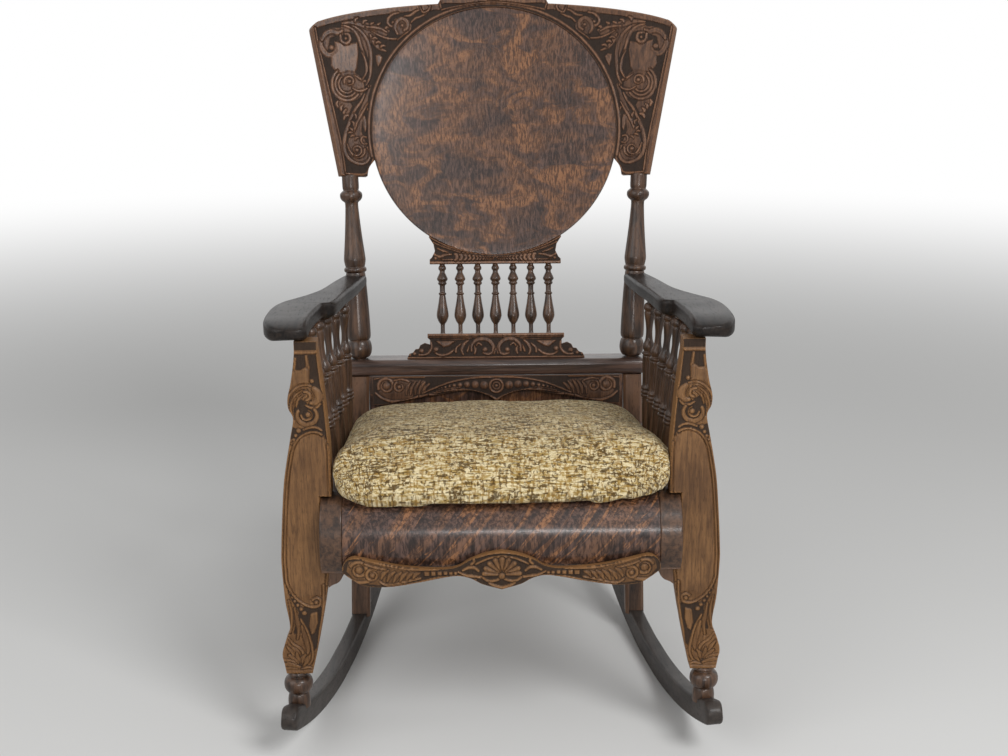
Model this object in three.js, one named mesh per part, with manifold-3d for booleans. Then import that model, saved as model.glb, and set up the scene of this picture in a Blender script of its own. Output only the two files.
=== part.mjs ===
// Roll-seat rocking chair of carved oak: bow runners, shaped front posts, turned back posts,
// a bent crest that holds a bent round panel, under-arm spindles and a loose seat cushion.
// Millimetres. +X is to the right as seen from the front, +Y to the rear and +Z up.

import * as THREE from 'three';
import { mergeVertices } from 'three/addons/utils/BufferGeometryUtils.js';
import Module from 'manifold-3d';

const wasm = await Module();
wasm.setup();

// Fits between pieces
const clearance = 0.3;
const overrun = 6;
const shoulderGap = 1.6;
const boreSides = 12;

// Runners: the floor curve, its level stretch under the balance point, and where they stand
const runnerRadius = 820;
const runnerWidth = 25;
const runnerHeight = 34;
const runnerFlatLength = 70;
const runnerStepLength = 36;
const runnerEndSteps = 6;
const runnerFrontReach = 66;
const runnerRearReach = 700;
const balanceDepth = 249;
const frontFootSpread = 293;
const rearFootSpread = 235;

// Front posts: flat shaped boards, with a round tenon that enters the arm
const postBottomHeight = 126;
const postCapDrop = 40;
const postTopSpread = 263.5;
const postWidth = 66;
const postThickness = 27;
const postTenonSpread = 268;
const postTenonRadius = 8;
const postTenonDepth = 14;
const postOuterSteps = 28;
const postInnerSteps = 16;

// Bun feet between the front posts and the runners
const footBallRadius = 20.5;
const footBallHeight = 26;
const footNeckRadius = 13;
const footNeckHeight = 7;
const footTenonRadius = 7;
const footTenonDepth = 20;
const footSides = 16;

// Back: everything is set out from the shelf on which the posts and the pediment stand,
// and the shelf's top lies this far above the rear of the seat
const shelfRise = 108;
const shelfThickness = 27;
const shelfHalfWidth = 250;
const shelfFrontDepth = 411;
const shelfDepth = 47;
const shelfEdgeRound = 9;
const backLineDepth = 432;
const postLean = 6.7;
const panelLean = 13;

// Turned back posts
const backPostSpread = 226.5;
const backPostTopSpread = 237;
const backPostRadius = 20.5;
const backPostTenonRadius = 9;
const backPostTenonDepth = 30;
const crestTenonRadius = 6;
const crestTenonDepth = 22;
const backPostSides = 14;

// Rear legs
const legWidth = 31;
const legChamfer = 4;
const legTopSpread = 227.5;

// Crest and round panel: both are bent about an upright axis in front of the chair
const bendRadius = 850;
const crestNotchHeight = 328;
const crestFootDrop = 28.5;
const crestFootInner = 212.5;
const crestFootOuter = 257;
const crestHalfWidth = 303;
const crestCornerHeight = 539;
const crestRise = 47;
const crestThickness = 22;
const crestArchShare = 0.75;
const crestCoveShare = 0.25;
const crestCornerAngle = 35;
const crestSideSteps = 7;
const crestColumns = 4;
const tabletHalfWidth = 89;
const tabletRise = 10;
const tabletShoulder = 3;
const discRadius = 203;
const discCentreHeight = 375;
const discThickness = 8;
const discRecess = 5;
const discJointGap = 0.9;
const discSegments = 40;
const discRingShares = [0.28, 0.54, 0.78, 1];

// Collar, back spindles and pediment
const collarHalfWidth = 109;
const collarDrop = 219;
const collarThickness = 20;
const collarArcSteps = 14;
const spindleCount = 7;
const spindleSpacing = 29.5;
const spindleRadius = 10.3;
const spindleTenonRadius = 3;
const spindleTenonDepth = 9;
const spindleSides = 8;
const pedimentTopHeight = 40;
const pedimentTopHalfWidth = 114;
const pedimentHalfWidth = 148;
const pedimentThickness = 14;

// Lower back, between the rear legs and below the shelf
const lowerPanelThickness = 12;
const lowerPanelRecess = 7;
const lowerPanelSink = 38;
const bandThickness = 8;
const bandHalfWidth = 206;
const bandEndDrop = 76;
const bandArchDrop = 53;
const bandPointDrop = 72;
const bandSteps = 14;

// Arms
const armFrontHeight = 642;
const armRearHeight = 615;
const armFrontDepth = -27;
const armRearDepth = 449;
const armFrontThickness = 25;
const armRearThickness = 20;
const armEdgeRound = 7;
const armNoseLength = 58;
const armNoseUnderLength = 16;
const armSpread = 291;
const armHalfWidth = 34;

// Spindles under the arms
const armSpindleCount = 5;
const armSpindleRadius = 10.6;
const armSpindleFirstDepth = 90;
const armSpindleSpacing = 45;
const armSpindleRearSpread = 236;
const armSpindleBowShare = 0.4;
const armSpindleTenonRadius = 4.5;
const armSpindleTenonDepth = 12;

// Seat frame, roll and apron
const railInner = 219;
const railOuter = 250;
const railBottomHeight = 288;
const railTenonThickness = 12;
const railTenonHeight = 46;
const railTenonDepth = 18;
const seatFrontDepth = 8;
const seatFrontHeight = 394;
const seatRearHeight = 368;
const seatBoardThickness = 14;
const rollReach = 44;
const rollBackDepth = 34;
const rollThickness = 16;
const rollSteps = 12;
const crossRailThickness = 20;
const frontRailDepth = 32;
const frontRailDrop = 58;
const frontRailHeight = 57;
const rearRailHeight = 52;
const apronThickness = 9;
const apronHalfWidth = 219;
const apronTopHeight = 327;
const apronBottomHeight = 270;
const apronTopSteps = 18;
const apronBottomSteps = 16;
const bracketHeight = 30;
const bracketWidth = 32;
const bracketThickness = 22;
const bracketOuterSpread = 243;
const bracketSteps = 10;

// Screws that draw the arms to the back posts
const screwRadius = 2.3;
const screwHeadRadius = 4.5;
const screwHeadThickness = 3;
const screwLength = 58;
const screwSink = 4;

// Loose seat cushion
const cushionHalfWidth = 233;
const cushionFrontDepth = -38;
const cushionRearGap = 19.7;
const cushionEdgeThickness = 48;
const cushionCrown = 24;
const cushionTurn = 2;
const cushionSegments = 40;
const cushionFrontLift = 5;
const cushionRearShare = 0.94;
const cushionDrawnInShare = 0.012;
const cushionFrontCornerShare = 0.26;
const cushionRearCornerShare = 0.5;

// Outlines as shares: [height share, outer share, inner share] of the post's height and width,
// measured outwards from the post's top centre
const postOuterShares = [
  [0, 0.67], [0.03, 0.705], [0.063, 0.742], [0.1, 0.674], [0.153, 0.553], [0.239, 0.629],
  [0.345, 0.667], [0.397, 0.659], [0.502, 0.606], [0.603, 0.538], [0.674, 0.455], [0.744, 0.356],
  [0.8, 0.285], [0.83, 0.37], [0.861, 0.379], [0.905, 0.303], [0.96, 0.235], [1, 0.205],
];
const postInnerShares = [
  [1, -0.258], [0.95, -0.303], [0.863, -0.364], [0.765, -0.417], [0.685, -0.447],
  [0.57, -0.44], [0.43, -0.39], [0.317, -0.326], [0.229, -0.227], [0.155, -0.129], [0.082, -0.023],
  [0, 0.11],
];

// Arm plan: [depth share, side share] from front to rear along the outer and the inner side;
// side shares are in half widths from the arm's middle
const armOuterShares = [
  [0, -0.1], [0.005, 0.26], [0.03, 0.62], [0.09, 0.87], [0.2, 1], [0.323, 1], [0.41, 0.8],
  [0.47, 0.46], [0.54, 0.04], [0.612, -0.29], [0.687, -0.53], [0.861, -0.85], [1, -1.17],
];
const armInnerShares = [
  [0, -0.6], [0.006, -0.84], [0.03, -0.97], [0.16, -0.94], [0.288, -1.02], [0.37, -1.14],
  [0.385, -1.4], [0.4, -1.53], [0.455, -1.65], [0.611, -1.82], [0.75, -2.03], [0.903, -2.2],
  [1, -2.27],
];
const armNoseShare = 0.3;
const armRoundShare = 0.48;
const armSteps = 26;

// Turned profiles: [height share, radius share]
const footBallShares = [[0, 0.66], [0.2, 0.92], [0.5, 1], [0.8, 0.92], [1, 0.66]];
const backPostShares = [
  [0, 0.7], [0.018, 0.91], [0.047, 1], [0.078, 0.95], [0.094, 0.86], [0.099, 0.78], [0.105, 0.9],
  [0.125, 0.955], [0.235, 0.93], [0.37, 0.86], [0.47, 0.78], [0.483, 0.88], [0.502, 0.88],
  [0.51, 0.8], [0.545, 0.88], [0.57, 0.85], [0.67, 0.7], [0.77, 0.58], [0.86, 0.5],
  [0.875, 0.76], [0.89, 0.89], [0.913, 0.89], [0.93, 0.66], [1, 0.66],
];
const backSpindleShares = [
  [0, 0.33], [0.13, 0.34], [0.17, 0.66], [0.245, 1], [0.33, 0.9], [0.54, 0.5], [0.57, 0.63],
  [0.6, 0.44], [0.69, 0.44], [0.72, 0.7], [0.775, 0.84], [0.87, 0.5], [0.91, 0.42], [0.94, 0.62],
  [0.975, 0.6], [1, 0.42],
];
const armSpindleShares = [
  [0, 0.62], [0.32, 0.8], [0.335, 0.99], [0.395, 0.96], [0.41, 0.8], [0.62, 0.94], [0.645, 1],
  [0.66, 0.74], [0.69, 0.86], [0.74, 0.56], [0.81, 0.47], [0.86, 0.58], [0.965, 0.93], [1, 0.7],
];

// Side view of the roll, from the seat's front edge over the nose to its foot:
// [share of the reach ahead of the seat's front edge, share of the drop to the rail's foot]
const rollShares = [
  [0, 0], [0.3, 0.03], [0.56, 0.105], [0.78, 0.22], [0.93, 0.37], [1, 0.54], [0.99, 0.7], [0.9, 0.87],
  [0.75, 1],
];
const apronTopShares = [
  [1, 0.6], [0.98, 0.76], [0.93, 0.87], [0.87, 0.83], [0.64, 0.63], [0.4, 0.55], [0.28, 0.6],
  [0.2, 0.78], [0.1, 0.93], [0, 1],
];
const apronBottomShares = [
  [1, 0.48], [0.94, 0.3], [0.86, 0.13], [0.7, 0.1], [0.5, 0.22], [0.3, 0.36], [0.2, 0.3], [0.12, 0.14],
  [0, 0],
];
// Where the points of the crest's arched top stand, as shares of its half width
const crestTopShares = [0.995, 0.975, 0.93, 0.86, 0.77, 0.67, 0.56, 0.45, 0.36];
const collarSideShares = [[1, 0], [1, 0.16], [0.965, 0.24], [0.92, 0.45], [0.94, 0.7], [1.01, 0.95]];
const pedimentLipShare = 0.17;
const pedimentSideShares = [
  [0, 0.83], [-0.12, 0.74], [-0.12, 0.55], [0.15, 0.62], [0.36, 0.53], [0.44, 0.38], [0.6, 0.36],
  [0.72, 0.22], [0.9, 0.17], [1, 0],
];
const bandShares = [[1, 0], [0.9, 0.02], [0.72, 0.34], [0.52, 0.62], [0.25, 1], [0.083, 0.67]];
const bracketShares = [[0, 0], [0.1, 0.08], [0.3, 0.3], [0.46, 0.62], [0.62, 0.78], [0.82, 0.86], [1, 1]];

// Cushion, from the middle of its underside round its edge to its crown:
// [share of the plan, share of the edge's thickness, share of the crown]
const cushionLayerShares = [
  [0, 0, 0], [0.5, 0, 0], [0.76, 0, 0], [0.84, 0, 0], [0.91, 0, 0], [0.965, 0.1, 0], [1, 0.32, 0],
  [0.985, 0.6, 0], [0.94, 0.86, 0], [0.86, 1, 0.1], [0.72, 1, 0.48], [0.5, 1, 0.78],
  [0.26, 1, 0.95], [0, 1, 1],
];

// Materials
function finish(name, color, roughness, metalness = 0) {
  return new THREE.MeshStandardMaterial({ name, color, roughness, metalness });
}
const frameOak = finish('frame_oak', 0x5b4030, 0.5);
const carvedOak = finish('carved_oak', 0x6f4f33, 0.55);
const figuredOak = finish('figured_oak', 0x6a4530, 0.35);
const armOak = finish('arm_oak', 0x37302b, 0.4);
const runnerOak = finish('runner_oak', 0x3f3832, 0.5);
const chenille = finish('chenille', 0xcdb78a, 0.95);
const steel = finish('steel', 0x8a8a88, 0.4, 0.9);

const chair = new THREE.Group();
chair.name = 'roll_seat_rocking_chair';

// Small tools
function radians(degrees) {
  return THREE.MathUtils.degToRad(degrees);
}

function point(x, y, z) {
  return new THREE.Vector3(x, y, z);
}

function flat(points) {
  return points.map(([across, up]) => new THREE.Vector2(across, up));
}

function smooth(points, count) {
  return new THREE.SplineCurve(points).getSpacedPoints(count);
}

// Welds a geometry into one mesh whose faces point out
function welded(geometry) {
  const copy = geometry.clone();
  copy.deleteAttribute('normal');
  copy.deleteAttribute('uv');
  const mesh = mergeVertices(copy);
  const index = mesh.index;
  const corner = [point(0, 0, 0), point(0, 0, 0), point(0, 0, 0)];
  let volume = 0;
  for (let face = 0; face < index.count; face += corner.length) {
    corner.forEach((vertex, turn) => {
      vertex.fromBufferAttribute(mesh.attributes.position, index.getX(face + turn));
    });
    volume += corner[0].dot(corner[1].clone().cross(corner[2]));
  }
  if (volume < 0) {
    for (let face = 0; face < index.count; face += corner.length) {
      const first = index.getX(face);
      index.setX(face, index.getX(face + 1));
      index.setX(face + 1, first);
    }
  }
  return mesh;
}

function solidOf(geometry) {
  const mesh = welded(geometry);
  const vertProperties = new Float32Array(mesh.attributes.position.array);
  const triVerts = new Uint32Array(mesh.index.array);
  return new wasm.Manifold(new wasm.Mesh({ numProp: 3, vertProperties, triVerts }));
}

function geometryOf(solid) {
  const mesh = solid.getMesh();
  const geometry = new THREE.BufferGeometry();
  geometry.setAttribute('position', new THREE.BufferAttribute(new Float32Array(mesh.vertProperties), 3));
  geometry.setIndex(new THREE.BufferAttribute(new Uint32Array(mesh.triVerts), 1));
  return geometry;
}

function cut(geometry, ...tools) {
  return geometryOf(tools.reduce((rest, tool) => rest.subtract(solidOf(tool)), solidOf(geometry)));
}

function joined(geometry, ...others) {
  return geometryOf(others.reduce((sum, other) => sum.add(solidOf(other)), solidOf(geometry)));
}

function mirrored(geometry) {
  return welded(geometry.clone().scale(-1, 1, 1));
}

function addPiece(name, geometry, material) {
  const mesh = new THREE.Mesh(welded(geometry), material);
  mesh.name = name;
  chair.add(mesh);
}

function addPair(name, geometry, material) {
  addPiece(`${name}_right`, geometry, material);
  addPiece(`${name}_left`, mirrored(geometry), material);
}

// A turned piece along +Z from [height, radius] pairs
function turned(profile, sides) {
  const top = profile.length - 1;
  const outline = [[profile[0][0], 0], ...profile, [profile[top][0], 0]];
  const points = outline.map(([height, radius]) => new THREE.Vector2(radius, height));
  return new THREE.LatheGeometry(points, sides).rotateX(Math.PI / 2);
}

function rod(radius, length, start = 0) {
  return turned([[start, radius], [start + length, radius]], boreSides);
}

// The tool for the hole that such a rod sits in: its flats clear the rod's corners
function bore(radius, length, start = 0) {
  return rod((radius + clearance) / Math.cos(Math.PI / boreSides), length, start);
}

// Stands a piece that was made along +Z on the line from one point to another
function onLine(geometry, from, to) {
  const turn = new THREE.Quaternion().setFromUnitVectors(point(0, 0, 1), to.clone().sub(from).normalize());
  return geometry.applyQuaternion(turn).translate(from.x, from.y, from.z);
}

// A board whose outline stands in the XZ plane, from its front face's depth to its rear face's
function board(points, frontDepth, rearDepth) {
  const geometry = new THREE.ExtrudeGeometry(new THREE.Shape(points), {
    depth: rearDepth - frontDepth, bevelEnabled: false, curveSegments: 1,
  });
  return geometry.rotateX(Math.PI / 2).translate(0, rearDepth, 0);
}

// A board whose outline stands in the YZ plane, from one side to the other
function sideBoard(points, inner, outer) {
  const geometry = new THREE.ExtrudeGeometry(new THREE.Shape(points), {
    depth: outer - inner, bevelEnabled: false,
  });
  return geometry.rotateX(Math.PI / 2).rotateZ(Math.PI / 2).translate(inner, 0, 0);
}

// A lying board with rounded edges, from its plan
function roundedPlank(points, thickness, round) {
  return new THREE.ExtrudeGeometry(new THREE.Shape(points), {
    depth: thickness - 2 * round,
    bevelThickness: round,
    bevelSize: round,
    bevelOffset: -round,
    bevelSegments: 2,
  }).translate(0, 0, round);
}

function block(low, high) {
  const size = high.clone().sub(low);
  const middle = low.clone().add(high).multiplyScalar(0.5);
  return new THREE.BoxGeometry(size.x, size.y, size.z).translate(middle.x, middle.y, middle.z);
}

// Leans a board that was made upright, with heights counted from the shelf's top
function leaned(geometry, lean) {
  return geometry.rotateX(-radians(lean)).translate(0, backLineDepth, shelfTopHeight);
}

function leanedPoint(across, height, lean) {
  return point(across, height * Math.sin(radians(lean)) + backLineDepth,
    height * Math.cos(radians(lean)) + shelfTopHeight);
}

// Places that several pieces share
const shelfTopHeight = seatRearHeight + shelfRise;
const lowerPanelBottomHeight = seatRearHeight - lowerPanelSink;
const bandEndHeight = shelfTopHeight - bandEndDrop;
const bandArchHeight = shelfTopHeight - bandArchDrop;
const bandPointHeight = shelfTopHeight - bandPointDrop;
const postTopHeight = armFrontHeight - postCapDrop;
const crestFootHeight = crestNotchHeight - crestFootDrop;
const collarBottomHeight = discCentreHeight - collarDrop;
const slope = (seatRearHeight - seatFrontHeight) / (backLineDepth - seatFrontDepth);
function seatHeightAt(depth) {
  return seatFrontHeight + slope * (depth - seatFrontDepth);
}

function armHeightAt(depth) {
  const share = (depth - armFrontDepth) / (armRearDepth - armFrontDepth);
  return armFrontHeight + share * (armRearHeight - armFrontHeight);
}

function armUnderAt(depth) {
  const share = (depth - armFrontDepth) / (armRearDepth - armFrontDepth);
  return armHeightAt(depth) - armFrontThickness - share * (armRearThickness - armFrontThickness);
}

function legDepthAt(height) {
  return backLineDepth - Math.tan(radians(postLean)) * (shelfTopHeight - height);
}

const shelfBottomHeight = shelfTopHeight - shelfThickness;
const legTop = point(legTopSpread, legDepthAt(shelfBottomHeight), shelfBottomHeight);
const legFoot = point(rearFootSpread, legDepthAt(0), 0);
const legFrontOffset = legWidth / 2 / Math.cos(radians(postLean));
const railMiddle = (railInner + railOuter) / 2;
const cushionRearDepth = legDepthAt(seatRearHeight) - legFrontOffset - cushionRearGap;

// Runners
const runnerAlong = point(rearFootSpread - frontFootSpread, legDepthAt(runnerHeight), 0).normalize();
const runnerBalance = balanceDepth / runnerAlong.y;
const flatAngle = Math.asin(runnerFlatLength / 2 / runnerRadius);
const runnerLevel = runnerRadius * Math.cos(flatAngle);

function runnerPoint(angle, radius) {
  return new THREE.Vector2(
    runnerBalance + radius * Math.sin(angle), runnerLevel - radius * Math.cos(angle),
  );
}

function runnerAngles() {
  const nose = runnerHeight / 2;
  const front = -Math.asin((runnerBalance + runnerFrontReach / runnerAlong.y - nose) / runnerRadius);
  const rear = Math.asin((runnerRearReach / runnerAlong.y - nose - runnerBalance) / runnerRadius);
  const frontSteps = Math.ceil((-flatAngle - front) * runnerRadius / runnerStepLength);
  const rearSteps = Math.ceil((rear - flatAngle) * runnerRadius / runnerStepLength);
  const angles = [];
  for (let step = 0; step <= frontSteps; step += 1) {
    angles.push(front + (-flatAngle - front) * step / frontSteps);
  }
  for (let step = 0; step <= rearSteps; step += 1) {
    angles.push(flatAngle + (rear - flatAngle) * step / rearSteps);
  }
  return angles;
}

// A half-round end at one angle of the arc, from the floor side to the top or back again
function runnerEnd(angle, direction) {
  const middle = runnerPoint(angle, runnerRadius - runnerHeight / 2);
  const points = [];
  for (let step = 1; step < runnerEndSteps; step += 1) {
    const turn = Math.PI * step / runnerEndSteps;
    const down = Math.cos(turn) * runnerHeight / 2;
    const out = Math.sin(turn) * direction * runnerHeight / 2;
    points.push(new THREE.Vector2(
      middle.x + down * Math.sin(angle) + out * Math.cos(angle),
      middle.y - down * Math.cos(angle) + out * Math.sin(angle),
    ));
  }
  return points;
}

function runnerBlank(growth) {
  const angles = runnerAngles();
  const floor = angles.map((angle) => runnerPoint(angle, runnerRadius));
  const top = angles.map((angle) => runnerPoint(angle, runnerRadius - runnerHeight - growth)).reverse();
  const rear = runnerEnd(angles[angles.length - 1], 1);
  const front = runnerEnd(angles[0], -1).reverse();
  const outline = [...floor, ...rear, ...top, ...front];
  const width = runnerWidth + 2 * growth;
  const across = point(runnerAlong.y, -runnerAlong.x, 0);
  const geometry = new THREE.ExtrudeGeometry(new THREE.Shape(outline), {
    depth: width, bevelEnabled: false,
  });
  geometry.translate(0, 0, -width / 2);
  geometry.applyMatrix4(new THREE.Matrix4().makeBasis(runnerAlong, point(0, 0, 1), across));
  return geometry.translate(frontFootSpread, 0, 0);
}

function runnerTopAt(depth) {
  const away = depth / runnerAlong.y - runnerBalance;
  return runnerLevel - Math.sqrt((runnerRadius - runnerHeight) ** 2 - away ** 2);
}

const footTop = point(frontFootSpread, 0, postBottomHeight);
const footBottom = point(frontFootSpread, 0, runnerTopAt(0) - footTenonDepth);
const legTenonHeight = runnerTopAt(legFoot.y) - footTenonDepth;

function pointOnLeg(height) {
  return legFoot.clone().lerp(legTop, height / legTop.z);
}

function makeRunners() {
  const frontBore = bore(footTenonRadius, footTenonDepth + footBallHeight, -clearance);
  const rearBore = bore(footTenonRadius, footTenonDepth + footBallHeight, -clearance);
  const runner = cut(
    runnerBlank(0),
    onLine(frontBore, footBottom, footTop),
    onLine(rearBore, pointOnLeg(legTenonHeight), legTop),
  );
  addPair('runner', runner, runnerOak);
}

// Front feet
function makeFrontFeet() {
  const neckTop = postBottomHeight - clearance;
  const ballTop = neckTop - footNeckHeight;
  const ball = footBallShares.map(([up, out]) => (
    [ballTop - footBallHeight * (1 - up), out * footBallRadius]
  ));
  const bottom = runnerTopAt(0) - runnerHeight / 2;
  const body = turned([[bottom, footNeckRadius], ...ball, [neckTop, footNeckRadius]], footSides);
  body.translate(frontFootSpread, 0, 0);
  const length = postBottomHeight + footTenonDepth - footBottom.z;
  const pin = onLine(rod(footTenonRadius, length), footBottom, footTop);
  addPair('front_foot', joined(cut(body, runnerBlank(clearance)), pin), frameOak);
}

// Front posts
function postOutline() {
  const height = postTopHeight - postBottomHeight;
  const place = ([up, out]) => new THREE.Vector2(
    postTopSpread + out * postWidth, postBottomHeight + up * height,
  );
  const outer = smooth(postOuterShares.map(place), postOuterSteps);
  const inner = smooth(postInnerShares.map(place), postInnerSteps);
  const armUnder = armUnderAt(postThickness / 2) - clearance;
  const cap = [outer[outer.length - 1], inner[0]].map((at) => new THREE.Vector2(at.x, armUnder));
  return [...outer, ...cap, ...inner];
}

function makeFrontPosts() {
  const half = postThickness / 2;
  const blank = board(postOutline(), -half, half);
  const armUnder = armUnderAt(0);
  const tenon = rod(postTenonRadius, armUnder + postTenonDepth - postTopHeight);
  tenon.translate(postTenonSpread, 0, postTopHeight);
  const housing = block(
    point(0, -postThickness, railBottomHeight - clearance),
    point(railOuter + clearance, postThickness, seatFrontHeight + clearance),
  );
  const footBore = bore(footTenonRadius, footTenonDepth + overrun + clearance, -overrun);
  footBore.translate(frontFootSpread, 0, postBottomHeight);
  addPair('front_post', cut(joined(blank, tenon), housing, footBore), carvedOak);
}

// Side rails, which carry the roll's profile on their front ends
function rollOutline() {
  const drop = seatFrontHeight - railBottomHeight;
  const reach = rollReach + seatFrontDepth;
  const points = rollShares.map(([out, down]) => new THREE.Vector2(
    seatFrontDepth - out * reach, seatFrontHeight - down * drop,
  ));
  return smooth(points, rollSteps);
}

function railTenon(growth) {
  const middleHeight = (railBottomHeight + seatRearHeight) / 2;
  const half = point(railTenonThickness / 2, 0, railTenonHeight / 2);
  const front = legDepthAt(middleHeight) - legWidth;
  return block(
    point(railMiddle - half.x - growth, front, middleHeight - half.z - growth),
    point(railMiddle + half.x + growth, legDepthAt(middleHeight) - legFrontOffset + railTenonDepth + growth,
      middleHeight + half.z + growth),
  );
}

function railOutline() {
  const rearTop = legDepthAt(seatRearHeight) - legFrontOffset - clearance;
  const rearBottom = legDepthAt(railBottomHeight) - legFrontOffset - clearance;
  return [
    ...rollOutline(),
    new THREE.Vector2(rearBottom, railBottomHeight),
    new THREE.Vector2(rearTop, seatHeightAt(rearTop)),
  ];
}

function makeSideRails() {
  const bores = armSpindleLines().map(([foot, top]) => onLine(
    bore(armSpindleTenonRadius, armSpindleTenonDepth + overrun, -armSpindleTenonDepth - clearance),
    foot, top,
  ));
  const rail = cut(sideBoard(railOutline(), railInner, railOuter), ...bores);
  addPair('side_rail', joined(rail, railTenon(0)), figuredOak);
}

// Roll front, seat board and the cross rails under them
function makeRoll() {
  const outer = rollOutline();
  const top = new THREE.Vector2(rollBackDepth, seatHeightAt(rollBackDepth));
  const path = [top, ...outer];
  const inner = path.map((at, index) => {
    const before = path[Math.max(index - 1, 0)];
    const after = path[Math.min(index + 1, path.length - 1)];
    const along = after.clone().sub(before).normalize();
    return new THREE.Vector2(at.x - along.y * rollThickness, at.y + along.x * rollThickness);
  });
  const half = railInner - clearance;
  addPiece('seat_roll', sideBoard([...path, ...inner.reverse()], -half, half), figuredOak);
}

function makeSeatBoard() {
  const front = rollBackDepth + clearance;
  const rear = legDepthAt(seatRearHeight - seatBoardThickness) - legFrontOffset - clearance;
  const half = railInner - clearance;
  const profile = flat([
    [front, seatHeightAt(front)], [front, seatHeightAt(front) - seatBoardThickness],
    [rear, seatHeightAt(rear) - seatBoardThickness], [rear, seatHeightAt(rear)],
  ]);
  addPiece('seat_board', sideBoard(profile, -half, half), frameOak);
}

function makeCrossRails() {
  const half = railInner - clearance;
  const frontTop = seatFrontHeight - frontRailDrop;
  addPiece('seat_front_rail', block(
    point(-half, frontRailDepth - crossRailThickness, frontTop - frontRailHeight),
    point(half, frontRailDepth, frontTop),
  ), frameOak);
  const rearTop = lowerPanelBottomHeight - clearance - lowerPanelThickness * Math.sin(radians(postLean));
  const middle = legDepthAt(rearTop - rearRailHeight / 2);
  const inner = pointOnLeg(rearTop).x - legWidth / 2 - clearance;
  addPiece('seat_rear_rail', block(
    point(-inner, middle - crossRailThickness / 2, rearTop - rearRailHeight),
    point(inner, middle + crossRailThickness / 2, rearTop),
  ), frameOak);
}

function makeApron() {
  const height = apronTopHeight - apronBottomHeight;
  const place = ([out, up]) => new THREE.Vector2(
    out * apronHalfWidth, apronBottomHeight + up * height,
  );
  const topHalf = smooth(apronTopShares.map(place), apronTopSteps);
  const bottomHalf = smooth(apronBottomShares.map(place), apronBottomSteps);
  const opposite = (at) => new THREE.Vector2(-at.x, at.y);
  const outline = [
    ...topHalf, ...topHalf.slice(0, -1).reverse().map(opposite),
    ...bottomHalf.map(opposite), ...bottomHalf.slice(0, -1).reverse(),
  ];
  const rear = -rollReach - clearance;
  addPiece('front_apron', board(outline, rear - apronThickness, rear), carvedOak);
}

function makeBrackets() {
  const top = railBottomHeight - clearance;
  const inner = bracketOuterSpread - bracketWidth;
  const place = ([out, down]) => [inner + out * bracketWidth, top - down * bracketHeight];
  const curve = smooth(flat(bracketShares.map(place)), bracketSteps);
  const outline = [...curve, new THREE.Vector2(bracketOuterSpread, top)];
  const bracket = board(outline, -bracketThickness / 2, bracketThickness / 2);
  const half = postThickness / 2;
  const post = board(postOutline(), -half, half).translate(-clearance, 0, 0);
  addPair('corner_bracket', cut(bracket, post), frameOak);
}

// Rear legs
function makeRearLegs() {
  const half = legWidth / 2;
  const edge = half - legChamfer;
  const section = flat([
    [half, edge], [edge, half], [-edge, half], [-half, edge],
    [-half, -edge], [-edge, -half], [edge, -half], [half, -edge],
  ]);
  const length = legFoot.distanceTo(legTop) + overrun;
  const column = new THREE.ExtrudeGeometry(new THREE.Shape(section), {
    depth: length, bevelEnabled: false,
  });
  const shelfSpace = block(
    point(0, 0, shelfBottomHeight - clearance),
    point(2 * shelfHalfWidth, 2 * backLineDepth, shelfTopHeight + overrun),
  );
  const below = block(
    point(0, 0, -runnerHeight),
    point(2 * shelfHalfWidth, 2 * backLineDepth, runnerTopAt(legFoot.y) - footNeckHeight),
  );
  const body = cut(onLine(column, legFoot, legTop), shelfSpace, below, runnerBlank(clearance));
  const foot = pointOnLeg(legTenonHeight);
  const pin = onLine(rod(footTenonRadius, footTenonDepth + footBallHeight), foot, legTop);
  const leg = cut(joined(body, pin), backPostTenonBore(), railTenon(clearance));
  addPair('rear_leg', leg, frameOak);
}

// Turned back posts
const backPostFoot = leanedPoint(backPostSpread, 0, postLean);
function backPostTop() {
  const seat = bent(backPostTopSpread, crestFootHeight, 0);
  return point(backPostTopSpread, seat.y, seat.z - clearance - shoulderGap);
}

function backPostTenonBore() {
  const depth = shelfThickness + backPostTenonDepth + clearance;
  return onLine(bore(backPostTenonRadius, depth + overrun, -depth), backPostFoot, backPostTop());
}

function backPostBlank() {
  const top = backPostTop();
  const length = top.distanceTo(backPostFoot);
  const start = clearance + shoulderGap;
  const profile = backPostShares.map(([up, out]) => [start + up * (length - start), out * backPostRadius]);
  const depth = shelfThickness + backPostTenonDepth;
  const full = [
    [-depth, backPostTenonRadius], [start, backPostTenonRadius], ...profile,
    [length, crestTenonRadius], [length + crestTenonDepth, crestTenonRadius],
  ];
  return onLine(turned(full, backPostSides), backPostFoot, top);
}

function makeBackPosts() {
  addPair('back_post', cut(backPostBlank(), screwBore()), frameOak);
}

// Shelf
function makeShelf() {
  const rear = shelfFrontDepth + shelfDepth;
  const corner = shelfEdgeRound;
  const plan = flat([
    [-shelfHalfWidth + corner, shelfFrontDepth], [shelfHalfWidth - corner, shelfFrontDepth],
    [shelfHalfWidth, shelfFrontDepth + corner], [shelfHalfWidth, rear - corner],
    [shelfHalfWidth - corner, rear], [-shelfHalfWidth + corner, rear],
    [-shelfHalfWidth, rear - corner], [-shelfHalfWidth, shelfFrontDepth + corner],
  ]);
  const plank = roundedPlank(plan, shelfThickness, shelfEdgeRound).translate(0, 0, shelfBottomHeight);
  const tenonBore = backPostTenonBore();
  addPiece('back_shelf', cut(plank, tenonBore, mirrored(tenonBore)), armOak);
}

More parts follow.
